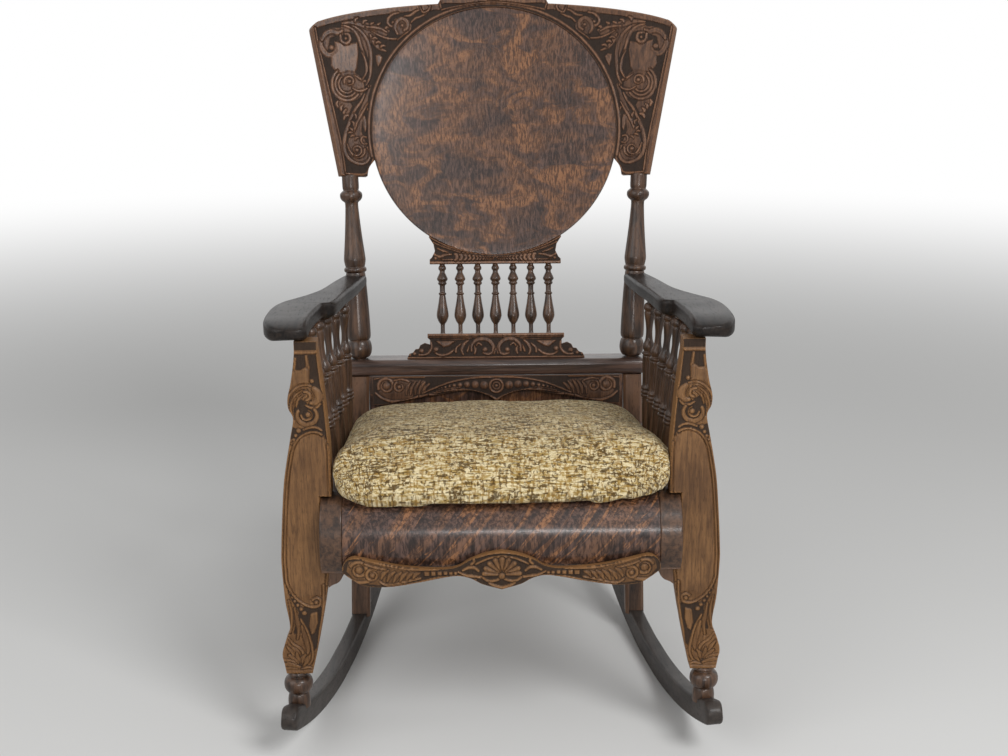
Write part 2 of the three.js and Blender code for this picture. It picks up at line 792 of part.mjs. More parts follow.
// The crest and the round panel share one bend: how far round it, how high, how far behind
function bent(around, height, behind) {
  const angle = around / bendRadius;
  const across = (bendRadius + behind) * Math.sin(angle);
  const back = (bendRadius + behind) * Math.cos(angle) - bendRadius;
  const up = leanedPoint(across, height, panelLean);
  const lean = radians(panelLean);
  return point(up.x, up.y + back * Math.cos(lean), up.z - back * Math.sin(lean));
}

// Closes a front grid and a rear grid of points into one solid
function gridSolid(front, rear) {
  const rows = front.length;
  const columns = front[0].length;
  const positions = [...front.flat(), ...rear.flat()].flatMap((at) => [at.x, at.y, at.z]);
  const index = [];
  const quad = (a, b, c, d) => index.push(a, b, c, a, c, d);
  const at = (row, column, side) => side * rows * columns + row * columns + column;
  for (let row = 0; row + 1 < rows; row += 1) {
    for (let column = 0; column + 1 < columns; column += 1) {
      quad(at(row, column, 0), at(row, column + 1, 0), at(row + 1, column + 1, 0), at(row + 1, column, 0));
      quad(at(row, column, 1), at(row + 1, column, 1), at(row + 1, column + 1, 1), at(row, column + 1, 1));
    }
    quad(at(row, 0, 0), at(row + 1, 0, 0), at(row + 1, 0, 1), at(row, 0, 1));
    quad(
      at(row, columns - 1, 0), at(row, columns - 1, 1),
      at(row + 1, columns - 1, 1), at(row + 1, columns - 1, 0),
    );
  }
  for (let column = 0; column + 1 < columns; column += 1) {
    quad(at(0, column, 0), at(0, column, 1), at(0, column + 1, 1), at(0, column + 1, 0));
    quad(
      at(rows - 1, column, 0), at(rows - 1, column + 1, 0),
      at(rows - 1, column + 1, 1), at(rows - 1, column, 1),
    );
  }
  const geometry = new THREE.BufferGeometry();
  geometry.setAttribute('position', new THREE.BufferAttribute(new Float32Array(positions), 3));
  geometry.setIndex(index);
  return geometry;
}

// Closes a row of convex rings into one solid
function lofted(rings) {
  const count = rings[0].length;
  const positions = rings.flat().flatMap((at) => [at.x, at.y, at.z]);
  const index = [];
  for (let ring = 0; ring + 1 < rings.length; ring += 1) {
    for (let turn = 0; turn < count; turn += 1) {
      const next = (turn + 1) % count;
      const near = ring * count;
      const far = near + count;
      index.push(near + turn, near + next, far + next);
      index.push(near + turn, far + next, far + turn);
    }
  }
  const last = (rings.length - 1) * count;
  for (let turn = 1; turn + 1 < count; turn += 1) {
    index.push(0, turn + 1, turn);
    index.push(last, last + turn, last + turn + 1);
  }
  const geometry = new THREE.BufferGeometry();
  geometry.setAttribute('position', new THREE.BufferAttribute(new Float32Array(positions), 3));
  geometry.setIndex(index);
  return geometry;
}

// Height of the crest's arched top
function crestTopAt(around) {
  const share = Math.min(Math.abs(around) / crestHalfWidth, 1);
  const arch = crestCornerHeight + crestRise * (1 - share ** 2) ** crestArchShare;
  return Math.abs(around) < tabletHalfWidth ? arch + tabletRise : arch;
}

// Pairs of inner and outer edge points up one wing, from its foot to the middle of the top
function crestRows() {
  const opening = discRadius + discJointGap;
  const onDisc = (angle) => [opening * Math.cos(angle), discCentreHeight + opening * Math.sin(angle)];
  const lowAngle = Math.asin((crestNotchHeight - discCentreHeight) / opening);
  const cornerAngle = radians(crestCornerAngle);
  const sideAt = (height) => {
    const share = (height - crestFootHeight) / (crestCornerHeight - crestFootHeight);
    return [crestFootOuter + share * (crestHalfWidth - crestFootOuter), height];
  };
  const cove = (crestNotchHeight - crestFootHeight) / 2;
  const notchInner = onDisc(lowAngle)[0];
  const rows = [
    [[crestFootInner, crestFootHeight], sideAt(crestFootHeight)],
    [
      [crestFootInner - (crestFootInner - notchInner) * crestCoveShare, crestFootHeight + cove],
      sideAt(crestFootHeight + cove),
    ],
    [onDisc(lowAngle), sideAt(crestNotchHeight)],
  ];
  for (let step = 1; step <= crestSideSteps; step += 1) {
    const share = step / crestSideSteps;
    const height = crestNotchHeight + share * (crestCornerHeight - crestNotchHeight);
    rows.push([onDisc(lowAngle + share * (cornerAngle - lowAngle)), sideAt(height)]);
  }
  const places = crestTopShares.map((share) => share * crestHalfWidth);
  places.push(tabletHalfWidth + tabletShoulder, tabletHalfWidth - tabletShoulder);
  places.push(tabletHalfWidth / 2, 0);
  for (const around of places) {
    const share = 1 - around / crestHalfWidth;
    const angle = cornerAngle + share * (Math.PI / 2 - cornerAngle);
    rows.push([onDisc(angle), [around, crestTopAt(around)]]);
  }
  return rows;
}

function makeCrest() {
  const half = crestRows();
  const leftHalf = half.map(([inner, outer]) => [[-inner[0], inner[1]], [-outer[0], outer[1]]]);
  const rows = [...leftHalf, ...half.slice(0, -1).reverse()];
  const between = (inner, outer, share) => inner + share * (outer - inner);
  const row = ([inner, outer], behind) => Array.from({ length: crestColumns + 1 }, (_, column) => {
    const share = column / crestColumns;
    return bent(between(inner[0], outer[0], share), between(inner[1], outer[1], share), behind);
  });
  const face = (behind) => rows.map((ends) => row(ends, behind));
  const blank = gridSolid(face(-crestThickness / 2), face(crestThickness / 2));
  const length = backPostTop().distanceTo(backPostFoot);
  const hole = onLine(
    bore(crestTenonRadius, crestTenonDepth + overrun + clearance, length - overrun),
    backPostFoot, backPostTop(),
  );
  addPiece('crest_rail', cut(blank, hole, mirrored(hole)), carvedOak);
}

function makeDisc() {
  const front = -crestThickness / 2 + discRecess;
  const positions = [];
  const index = [];
  for (const behind of [front, front + discThickness]) {
    const middle = bent(0, discCentreHeight, behind);
    positions.push(middle.x, middle.y, middle.z);
    for (const ring of discRingShares) {
      for (let segment = 0; segment < discSegments; segment += 1) {
        const angle = 2 * Math.PI * segment / discSegments;
        const across = ring * discRadius * Math.cos(angle);
        const at = bent(across, discCentreHeight + ring * discRadius * Math.sin(angle), behind);
        positions.push(at.x, at.y, at.z);
      }
    }
  }
  const side = 1 + discRingShares.length * discSegments;
  const at = (ring, segment, face) => (
    face * side + 1 + ring * discSegments + segment % discSegments
  );
  const rim = discRingShares.length - 1;
  for (let segment = 0; segment < discSegments; segment += 1) {
    index.push(0, at(0, segment + 1, 0), at(0, segment, 0));
    index.push(side, at(0, segment, 1), at(0, segment + 1, 1));
    for (let ring = 0; ring < rim; ring += 1) {
      index.push(at(ring, segment, 0), at(ring, segment + 1, 0), at(ring + 1, segment + 1, 0));
      index.push(at(ring, segment, 0), at(ring + 1, segment + 1, 0), at(ring + 1, segment, 0));
      index.push(at(ring, segment, 1), at(ring + 1, segment + 1, 1), at(ring, segment + 1, 1));
      index.push(at(ring, segment, 1), at(ring + 1, segment, 1), at(ring + 1, segment + 1, 1));
    }
    index.push(at(rim, segment, 0), at(rim, segment + 1, 0), at(rim, segment + 1, 1));
    index.push(at(rim, segment, 0), at(rim, segment + 1, 1), at(rim, segment, 1));
  }
  const geometry = new THREE.BufferGeometry();
  geometry.setAttribute('position', new THREE.BufferAttribute(new Float32Array(positions), 3));
  geometry.setIndex(index);
  addPiece('round_back_panel', geometry, figuredOak);
}

// Collar under the disc
function spindlePlaces() {
  const middle = (spindleCount - 1) / 2;
  return Array.from({ length: spindleCount }, (_, index) => (index - middle) * spindleSpacing);
}

function makeCollar() {
  const cradle = discRadius + discJointGap;
  const earHeight = discCentreHeight - Math.sqrt(cradle ** 2 - collarHalfWidth ** 2);
  const height = earHeight - collarBottomHeight;
  const side = collarSideShares.map(([out, up]) => (
    [out * collarHalfWidth, collarBottomHeight + up * height]
  ));
  const span = Math.asin(collarHalfWidth / cradle);
  const arc = Array.from({ length: collarArcSteps + 1 }, (_, step) => {
    const angle = span * (1 - 2 * step / collarArcSteps);
    return [cradle * Math.sin(angle), discCentreHeight - cradle * Math.cos(angle)];
  });
  const outline = flat([...side, ...arc, ...side.map(([across, up]) => [-across, up]).reverse()]);
  const plate = leaned(board(outline, -collarThickness / 2, collarThickness / 2), panelLean);
  const depth = spindleTenonDepth + clearance;
  const holes = spindlePlaces().map((across) => onLine(
    bore(spindleTenonRadius, depth + overrun, -overrun),
    leanedPoint(across, collarBottomHeight, panelLean),
    leanedPoint(across, discCentreHeight, panelLean),
  ));
  addPiece('back_collar', cut(plate, ...holes), carvedOak);
}

function makePediment() {
  const lip = pedimentTopHeight * (1 - pedimentLipShare);
  const spread = pedimentHalfWidth - pedimentTopHalfWidth;
  const side = pedimentSideShares.map(([out, up]) => (
    [pedimentTopHalfWidth + out * spread, up * pedimentTopHeight]
  ));
  const top = [[pedimentTopHalfWidth, pedimentTopHeight], [pedimentTopHalfWidth, lip]];
  const right = [...top, ...side, [pedimentHalfWidth, -overrun]];
  const outline = flat([...right, ...right.map(([across, up]) => [-across, up]).reverse()]);
  const half = pedimentThickness / 2;
  const plate = leaned(board(outline, -half, half), panelLean);
  const shelfSpace = block(
    point(-shelfHalfWidth, 0, shelfBottomHeight),
    point(shelfHalfWidth, 2 * backLineDepth, shelfTopHeight + clearance),
  );
  const depth = spindleTenonDepth + clearance;
  const holes = spindlePlaces().map((across) => onLine(
    bore(spindleTenonRadius, depth + overrun, -depth),
    leanedPoint(across, pedimentTopHeight, panelLean),
    leanedPoint(across, collarBottomHeight, panelLean),
  ));
  addPiece('back_pediment', cut(plate, shelfSpace, ...holes), carvedOak);
}

function makeBackSpindles() {
  const length = collarBottomHeight - pedimentTopHeight - 2 * clearance;
  const profile = backSpindleShares.map(([up, out]) => [clearance + up * length, out * spindleRadius]);
  const end = length + 2 * clearance;
  const full = [
    [-spindleTenonDepth, spindleTenonRadius], [clearance, spindleTenonRadius], ...profile,
    [clearance + length, spindleTenonRadius], [end + spindleTenonDepth, spindleTenonRadius],
  ];
  spindlePlaces().forEach((across, index) => {
    const from = leanedPoint(across, pedimentTopHeight, panelLean);
    const to = leanedPoint(across, collarBottomHeight, panelLean);
    addPiece(`back_spindle_${index + 1}`, onLine(turned(full, spindleSides), from, to), frameOak);
  });
}

// Lower back panel and the carved band on it
function makeLowerBack() {
  const lean = radians(postLean);
  const fall = (height) => (height - shelfTopHeight) / Math.cos(lean);
  const top = fall(shelfBottomHeight - clearance) - legWidth / 2 * Math.sin(lean);
  const bottom = fall(lowerPanelBottomHeight);
  const half = legTopSpread - legWidth / 2 - clearance;
  const panelFront = -legWidth / 2 + lowerPanelRecess;
  const panel = board(flat([[-half, bottom], [half, bottom], [half, top], [-half, top]]),
    panelFront, panelFront + lowerPanelThickness);
  addPiece('lower_back_panel', leaned(panel, postLean), figuredOak);

  const arch = bandArchHeight - bandEndHeight;
  const side = bandShares.map(([out, up]) => [out * bandHalfWidth, fall(bandEndHeight + up * arch)]);
  const underside = smooth(flat([...side, [0, fall(bandPointHeight)]]), bandSteps);
  const right = [[bandHalfWidth, top], ...underside.map((at) => [at.x, at.y])];
  const outline = flat([...right, ...right.slice(0, -1).map(([across, up]) => [-across, up]).reverse()]);
  const front = panelFront - clearance - bandThickness;
  addPiece('carved_band', leaned(board(outline, front, front + bandThickness), postLean), carvedOak);
}

// How far the rounding of the arm's nose has opened at one depth
function noseFullness(depth, length) {
  const nose = THREE.MathUtils.clamp((depth - armFrontDepth) / length, 0, 1);
  return armNoseShare + (1 - armNoseShare) * Math.sqrt(1 - (1 - nose) ** 2);
}

// Arms: rounded sections strung from the rolled nose back to the post
function armSection(outer, inner) {
  const across = inner.clone().sub(outer);
  const width = across.length();
  const half = (armHeightAt(outer.y) - armUnderAt(outer.y)) / 2;
  const middle = armUnderAt(outer.y) + half;
  const low = middle - half * noseFullness(outer.y, armNoseUnderLength);
  const height = middle + half * noseFullness(outer.y, armNoseLength) - low;
  const round = Math.min(armEdgeRound, armRoundShare * height, armRoundShare * width);
  const centres = [
    [width - round, height - round], [round, height - round], [round, round], [width - round, round],
  ];
  return centres.flatMap(([over, up], corner) => [0, 1, 2].map((step) => {
    const angle = (corner + step / 2) * Math.PI / 2;
    const place = outer.clone().addScaledVector(across, (over + round * Math.cos(angle)) / width);
    return point(place.x, place.y, low + up + round * Math.sin(angle));
  }));
}

function armBlank() {
  const length = armRearDepth - armFrontDepth;
  const place = ([back, out]) => new THREE.Vector2(
    armSpread + out * armHalfWidth, armFrontDepth + back * length,
  );
  const outer = smooth(armOuterShares.map(place), armSteps);
  const inner = smooth(armInnerShares.map(place), armSteps);
  return lofted(outer.map((at, index) => armSection(at, inner[index])));
}

function makeArms() {
  const reach = armFrontHeight - armRearHeight + armFrontThickness;
  const post = bore(backPostRadius, 2 * reach, -reach);
  onLine(post, pointOnBackPost(armRearHeight), backPostTop());
  const tenonLength = postTenonDepth + armFrontThickness + clearance;
  const tenonBore = bore(postTenonRadius, tenonLength, -armFrontThickness);
  tenonBore.translate(postTenonSpread, 0, armUnderAt(0));
  const bores = armSpindleLines().map(([foot, top]) => onLine(
    bore(armSpindleTenonRadius, armSpindleTenonDepth + overrun + clearance, top.distanceTo(foot) - overrun),
    foot, top,
  ));
  addPair('arm', cut(armBlank(), post, tenonBore, screwBore(), ...bores), armOak);
}

function pointOnBackPost(height) {
  const top = backPostTop();
  return backPostFoot.clone().lerp(top, (height - backPostFoot.z) / (top.z - backPostFoot.z));
}

// Foot and top of each spindle under the right arm: the feet stand in line, the tops splay out
function armSpindleLines() {
  return Array.from({ length: armSpindleCount }, (_, index) => {
    const depth = armSpindleFirstDepth + index * armSpindleSpacing;
    const along = index / (armSpindleCount - 1);
    const share = along * (1 - armSpindleBowShare * (1 - along));
    const spread = postTenonSpread + share * (armSpindleRearSpread - postTenonSpread);
    const top = point(spread, depth, armUnderAt(depth));
    return [point(railMiddle, depth, seatHeightAt(depth)), top];
  });
}

function makeArmSpindles() {
  const left = [];
  armSpindleLines().forEach(([foot, top], index) => {
    const length = foot.distanceTo(top);
    const span = length - 2 * shoulderGap;
    const profile = armSpindleShares.map(([up, out]) => [shoulderGap + up * span, out * armSpindleRadius]);
    const full = [
      [-armSpindleTenonDepth, armSpindleTenonRadius], [shoulderGap, armSpindleTenonRadius], ...profile,
      [length - shoulderGap, armSpindleTenonRadius], [length + armSpindleTenonDepth, armSpindleTenonRadius],
    ];
    const spindle = onLine(turned(full, spindleSides), foot, top);
    addPiece(`arm_spindle_right_${index + 1}`, spindle, frameOak);
    left.push([`arm_spindle_left_${index + 1}`, mirrored(spindle)]);
  });
  left.forEach(([name, geometry]) => addPiece(name, geometry, frameOak));
}

// Arm screws, driven forward through the back posts
function screwLine() {
  const height = armRearHeight - armRearThickness / 2;
  const middle = pointOnBackPost(height);
  const start = middle.clone().add(point(0, backPostRadius - screwSink, 0));
  return [start, start.clone().add(point(0, -screwLength, 0))];
}

function screwBore() {
  const [start, end] = screwLine();
  const shank = bore(screwRadius, screwLength + clearance);
  const seat = bore(screwHeadRadius, backPostRadius, -backPostRadius);
  return joined(onLine(shank, start, end), onLine(seat, start, end).translate(0, -clearance, 0));
}

function makeScrews() {
  const [start, end] = screwLine();
  const profile = [
    [-screwHeadThickness, screwHeadRadius / 2], [-screwHeadThickness / 2, screwHeadRadius],
    [0, screwHeadRadius], [0, screwRadius],
    [screwLength - overrun, screwRadius], [screwLength, screwRadius / 3],
  ];
  addPair('arm_screw', onLine(turned(profile, boreSides), start, end), steel);
}

// What the cushion lies on: the sloping seat, then the shoulder of the roll in front of it
function seatSurfaceAt(depth) {
  if (depth >= seatFrontDepth) {
    return seatHeightAt(depth);
  }
  const profile = rollOutline();
  const after = profile.findIndex((at) => at.x <= depth);
  if (after < 1) {
    return profile[after === 0 ? 0 : profile.length - 1].y;
  }
  const [near, far] = [profile[after - 1], profile[after]];
  const onRoll = near.y + (far.y - near.y) * (depth - near.x) / (far.x - near.x);
  return Math.min(seatHeightAt(depth), onRoll + cushionFrontLift);
}

// Loose cushion: a crowned form that droops over the roll, with its sides drawn in
function cushionEdge(angle, share) {
  const corner = Math.sin(angle) < 0 ? cushionFrontCornerShare : cushionRearCornerShare;
  const side = Math.sign(Math.cos(angle)) * Math.abs(Math.cos(angle)) ** corner;
  const along = Math.sign(Math.sin(angle)) * Math.abs(Math.sin(angle)) ** corner;
  const drawn = 1 - cushionDrawnInShare * Math.cos(2 * angle) ** 2;
  const rear = (along + 1) / 2;
  const width = cushionHalfWidth * (1 - rear * (1 - cushionRearShare));
  const half = (cushionRearDepth - cushionFrontDepth) / 2;
  return new THREE.Vector2(share * drawn * side * width, share * drawn * along * half);
}

function makeCushion() {
  const middleDepth = (cushionFrontDepth + cushionRearDepth) / 2;
  const positions = [];
  const index = [];
  const turn = radians(cushionTurn);
  for (const [share, edge, crown] of cushionLayerShares) {
    const count = share === 0 ? 1 : cushionSegments;
    for (let segment = 0; segment < count; segment += 1) {
      const flatPlace = cushionEdge(2 * Math.PI * segment / cushionSegments, share);
      const across = flatPlace.x * Math.cos(turn) - flatPlace.y * Math.sin(turn);
      const depth = middleDepth + flatPlace.x * Math.sin(turn) + flatPlace.y * Math.cos(turn);
      const base = seatSurfaceAt(depth) + clearance;
      positions.push(across, depth, base + edge * cushionEdgeThickness + crown * cushionCrown);
    }
  }
  const first = (layer) => (layer === 0 ? 0 : 1 + (layer - 1) * cushionSegments);
  const at = (layer, segment) => first(layer) + segment % cushionSegments;
  const last = cushionLayerShares.length - 1;
  for (let segment = 0; segment < cushionSegments; segment += 1) {
    index.push(0, at(1, segment + 1), at(1, segment));
    index.push(first(last), at(last - 1, segment), at(last - 1, segment + 1));
    for (let layer = 1; layer + 1 < last; layer += 1) {
      index.push(at(layer, segment), at(layer, segment + 1), at(layer + 1, segment + 1));
      index.push(at(layer, segment), at(layer + 1, segment + 1), at(layer + 1, segment));
    }
  }
  const geometry = new THREE.BufferGeometry();
  geometry.setAttribute('position', new THREE.BufferAttribute(new Float32Array(positions), 3));
  geometry.setIndex(index);
  addPiece('seat_cushion', geometry, chenille);
}

makeRunners();
makeFrontFeet();
makeFrontPosts();
makeSideRails();
makeRoll();
makeSeatBoard();
makeCrossRails();
makeApron();
makeBrackets();
makeRearLegs();
makeBackPosts();
makeShelf();
makeCrest();
makeDisc();
makeCollar();
makePediment();
makeBackSpindles();
makeLowerBack();
makeArms();
makeArmSpindles();
makeScrews();
makeCushion();

// The origin is on the floor, at the middle of the chair's width and depth
const bounds = new THREE.Box3().setFromObject(chair);
chair.position.set(0, -(bounds.min.y + bounds.max.y) / 2, 0);

export default chair;
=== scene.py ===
# Finished surfaces of a carved oak roll-seat rocking chair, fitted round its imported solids.
import math

import bmesh
import bpy
import numpy as np
from bpy.props import FloatProperty, FloatVectorProperty, IntProperty, PointerProperty
from mathutils import Matrix, Vector, kdtree, noise
from mathutils.geometry import delaunay_2d_cdt


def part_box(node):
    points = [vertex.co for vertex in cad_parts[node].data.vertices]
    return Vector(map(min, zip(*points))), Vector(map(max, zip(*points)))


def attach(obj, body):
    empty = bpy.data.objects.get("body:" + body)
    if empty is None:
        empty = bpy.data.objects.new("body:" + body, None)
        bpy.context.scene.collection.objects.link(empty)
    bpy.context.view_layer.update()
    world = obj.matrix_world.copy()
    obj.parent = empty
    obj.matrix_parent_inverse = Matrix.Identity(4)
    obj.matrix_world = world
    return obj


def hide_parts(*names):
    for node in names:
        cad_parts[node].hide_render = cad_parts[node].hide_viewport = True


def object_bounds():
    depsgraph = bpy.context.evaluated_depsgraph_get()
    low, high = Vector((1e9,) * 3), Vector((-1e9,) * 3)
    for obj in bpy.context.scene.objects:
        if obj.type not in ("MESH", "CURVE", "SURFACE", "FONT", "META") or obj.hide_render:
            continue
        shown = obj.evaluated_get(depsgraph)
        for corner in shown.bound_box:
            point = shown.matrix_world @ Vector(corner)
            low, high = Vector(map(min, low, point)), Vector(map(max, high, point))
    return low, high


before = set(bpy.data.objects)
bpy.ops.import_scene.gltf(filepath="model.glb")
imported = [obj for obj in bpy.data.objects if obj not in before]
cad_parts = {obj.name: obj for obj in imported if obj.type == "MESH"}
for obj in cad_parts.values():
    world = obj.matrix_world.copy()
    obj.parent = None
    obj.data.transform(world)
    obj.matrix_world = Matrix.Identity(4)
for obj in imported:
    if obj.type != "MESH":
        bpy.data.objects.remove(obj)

bl_info = {
    "name": "Roll-seat rocking chair",
    "version": (1, 0, 0),
    "blender": (4, 5, 0),
    "location": "3D View > Sidebar > Rocking chair",
    "description": "Builds the carved, turned and upholstered surfaces of a roll-seat rocking chair",
    "category": "Object",
}

# The frame, measured before anything is added
CAD_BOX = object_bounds()
POST_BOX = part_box("front_post_right")
FRONT_PLANE = (POST_BOX[0].y + POST_BOX[1].y) / 2
MM = 0.001

# The chair's own sizes in millimetres: x to the right, y back from the front posts, z from the floor
POST_THICKNESS, POST_WIDTH, POST_TOP_SPREAD = 27, 66, 263.5
POST_BOTTOM, POST_TOP = 126, 602
SEAT_FRONT, SEAT_REAR, SEAT_FRONT_DEPTH = 394, 368, 8
RAIL_INNER, RAIL_OUTER, RAIL_BOTTOM = 219, 250, 288
ROLL_REACH, ROLL_BACK, ROLL_THICKNESS = 44, 34, 16
BACK_LINE, SHELF_TOP, SHELF_THICKNESS = 432, 476, 27
SHELF_FRONT, SHELF_DEPTH, SHELF_HALF_WIDTH, SHELF_ROUND = 411, 47, 250, 9
POST_LEAN, PANEL_LEAN = 6.7, 13
BEND_RADIUS, CREST_THICKNESS = 850, 22
CREST_HALF_WIDTH, CREST_CORNER, CREST_RISE = 303, 539, 47
CREST_FOOT, CREST_FOOT_INNER, CREST_FOOT_OUTER, CREST_NOTCH = 299.5, 212.5, 257, 328
TABLET_HALF_WIDTH, TABLET_RISE = 89, 10
DISC_RADIUS, DISC_CENTRE, DISC_THICKNESS, DISC_RECESS, JOINT_GAP = 203, 375, 8, 5, 0.9
COLLAR_BOTTOM, COLLAR_THICKNESS, COLLAR_HALF_WIDTH = 156, 20, 109
PEDIMENT_TOP, PEDIMENT_THICKNESS = 40, 14
BACK_POST_SPREAD, BACK_POST_TOP_SPREAD, BACK_POST_RADIUS = 226.5, 237, 20.5
SPINDLE_COUNT, SPINDLE_SPACING, SPINDLE_RADIUS = 7, 29.5, 10.3
ARM_FRONT_HEIGHT, ARM_REAR_HEIGHT, ARM_FRONT_DEPTH, ARM_REAR_DEPTH = 642, 615, -27, 449
ARM_FRONT_THICKNESS, ARM_REAR_THICKNESS, ARM_SPREAD, ARM_HALF_WIDTH = 25, 20, 291, 34
ARM_ROUND, ARM_NOSE, ARM_NOSE_UNDER = 7, 58, 16
ARM_SPINDLE_COUNT, ARM_SPINDLE_RADIUS, ARM_SPINDLE_FIRST, ARM_SPINDLE_SPACING = 5, 10.6, 90, 45
ARM_SPINDLE_FRONT, ARM_SPINDLE_REAR = 268, 236
RUNNER_RADIUS, RUNNER_WIDTH, RUNNER_HEIGHT, RUNNER_FLAT = 820, 25, 34, 70
RUNNER_FRONT, RUNNER_REAR, BALANCE_DEPTH = 66, 700, 249
FRONT_FOOT_SPREAD, REAR_FOOT_SPREAD = 293, 235
LOWER_PANEL_FRONT = -8.5
BAND_THICKNESS, BAND_HALF_WIDTH, BAND_END, BAND_ARCH, BAND_POINT = 8, 206, 400, 423, 404
APRON_THICKNESS, APRON_HALF_WIDTH, APRON_TOP, APRON_BOTTOM = 9, 219, 327, 270
CUSHION_HALF_WIDTH, CUSHION_FRONT, CUSHION_REAR = 233, -38, 384
CUSHION_EDGE, CUSHION_CROWN, CUSHION_HEIGHT, CUSHION_LIFT, CUSHION_OVERHANG = 59, 14, 72, 5, 383
CUSHION_TURN, CUSHION_BULGE, CUSHION_TAPER, CUSHION_CORNER_RISE = 2, 15, 0.06, 6
CUSHION_FRONT_CORNER, CUSHION_REAR_CORNER = 0.19, 0.42
CUSHION_THIN_FROM, CUSHION_THINNING = 90, 0.56
SEAM_HEIGHT, SEAM_HALF_WIDTH, SEAM_DEPTH = 16, 5, 2.6
SLACK, FINE_SLACK = 2.4, 0.9
SIDE_ROOM = [
    (-60, 243), (-20, 242), (-14, 233.2), (14, 233.2), (22, 237), (68, 237), (80, 226.5), (275, 226.5),
    (300, 224), (400, 216),
]
BALL_HEIGHT, BALL_RADIUS, BALL_NECK = 26, 20.5, 7
FOOT_RADIUS, FOOT_HEIGHT, FOOT_SINK = 16, 12, 4
RUNNER_ROUND, LEG_FACE, BAND_SETBACK, RAIL_ROUND = 4.0, 15.9, 15.5, 2.2
SPINDLE_GAP, PEG_RADIUS, POST_SHOULDER = 1.6, 4.5, 1.9
REAR_SPACING, SIDE_LEVEL = 14, 0.45
FIT = 0.3

SIDES = (("right", 1), ("left", -1))

# Outlines, as shares of the sizes above
POST_OUTER_SHARES = [
    (0, 0.67), (0.03, 0.705), (0.063, 0.742), (0.1, 0.674), (0.153, 0.553), (0.239, 0.629),
    (0.345, 0.667), (0.397, 0.659), (0.502, 0.606), (0.603, 0.538), (0.674, 0.455), (0.744, 0.356),
    (0.8, 0.285), (0.83, 0.37), (0.861, 0.379), (0.905, 0.303), (0.96, 0.235), (1, 0.205),
]
POST_INNER_SHARES = [
    (1, -0.258), (0.95, -0.303), (0.863, -0.364), (0.765, -0.417), (0.685, -0.447), (0.57, -0.44),
    (0.43, -0.39), (0.317, -0.326), (0.229, -0.227), (0.155, -0.129), (0.082, -0.023), (0, 0.11),
]
ARM_OUTER_SHARES = [
    (0, -0.1), (0.005, 0.26), (0.03, 0.62), (0.09, 0.87), (0.2, 1), (0.323, 1), (0.41, 0.8),
    (0.47, 0.46), (0.54, 0.04), (0.612, -0.29), (0.687, -0.53), (0.861, -0.85), (1, -1.17),
]
ARM_INNER_SHARES = [
    (0, -0.6), (0.006, -0.84), (0.03, -0.97), (0.16, -0.94), (0.288, -1.02), (0.37, -1.14),
    (0.385, -1.4), (0.4, -1.53), (0.455, -1.65), (0.611, -1.82), (0.75, -2.03), (0.903, -2.2),
    (1, -2.27),
]
ROLL_SHARES = [
    (0, 0), (0.3, 0.03), (0.56, 0.105), (0.78, 0.22), (0.93, 0.37), (1, 0.54), (0.99, 0.7),
    (0.9, 0.87), (0.75, 1),
]
APRON_TOP_SHARES = [
    (1, 0.6), (0.98, 0.76), (0.93, 0.87), (0.87, 0.83), (0.64, 0.63), (0.4, 0.55), (0.28, 0.6),
    (0.2, 0.78), (0.1, 0.93), (0, 1),
]
APRON_BOTTOM_SHARES = [
    (0, 0), (0.12, 0.14), (0.2, 0.3), (0.3, 0.36), (0.5, 0.22), (0.7, 0.1), (0.86, 0.13),
    (0.94, 0.3), (1, 0.48),
]
BAND_SHARES = [(1, 0), (0.9, 0.02), (0.72, 0.34), (0.52, 0.62), (0.25, 1), (0.083, 0.67)]
COLLAR_SIDE_SHARES = [(1, 0), (1, 0.16), (0.965, 0.24), (0.92, 0.45), (0.94, 0.7), (1.01, 0.95)]
PEDIMENT_OUTLINE = [
    (114, 40), (114, 33.2), (109.9, 29.6), (109.9, 22), (119.1, 24.8), (126.2, 21.2), (129, 15.2),
    (134.4, 14.4), (138.5, 8.8), (144.6, 6.8), (148, 0), (148, -1.4),
]
FOOT_SHARES = [
    (0, 0.6), (0.06, 0.76), (0.17, 0.9), (0.33, 0.985), (0.5, 1.01), (0.67, 0.985), (0.83, 0.9),
    (0.94, 0.76), (1, 0.6),
]
BACK_POST_SHARES = [
    (0, 0.7), (0.018, 0.91), (0.047, 1), (0.078, 0.95), (0.094, 0.86), (0.099, 0.78), (0.105, 0.9),
    (0.125, 0.955), (0.235, 0.93), (0.37, 0.86), (0.47, 0.78), (0.476, 0.74), (0.483, 0.88),
    (0.492, 0.9), (0.502, 0.88), (0.507, 0.76), (0.515, 0.8), (0.545, 0.88), (0.57, 0.85),
    (0.67, 0.7), (0.77, 0.58), (0.86, 0.5), (0.868, 0.62), (0.875, 0.76), (0.89, 0.89),
    (0.913, 0.89), (0.925, 0.7), (0.93, 0.6), (0.94, 0.66), (1, 0.66),
]
BACK_SPINDLE_SHARES = [
    (0, 0.42), (0.02, 0.34), (0.13, 0.34), (0.145, 0.44), (0.17, 0.66), (0.245, 1), (0.33, 0.9),
    (0.44, 0.66), (0.54, 0.5), (0.555, 0.46), (0.565, 0.62), (0.585, 0.62), (0.595, 0.42),
    (0.69, 0.42), (0.7, 0.5), (0.715, 0.7), (0.735, 0.7), (0.745, 0.56), (0.775, 0.86),
    (0.8, 0.86), (0.85, 0.6), (0.88, 0.42), (0.91, 0.42), (0.925, 0.62), (0.96, 0.62), (0.975, 0.45),
    (1, 0.42),
]
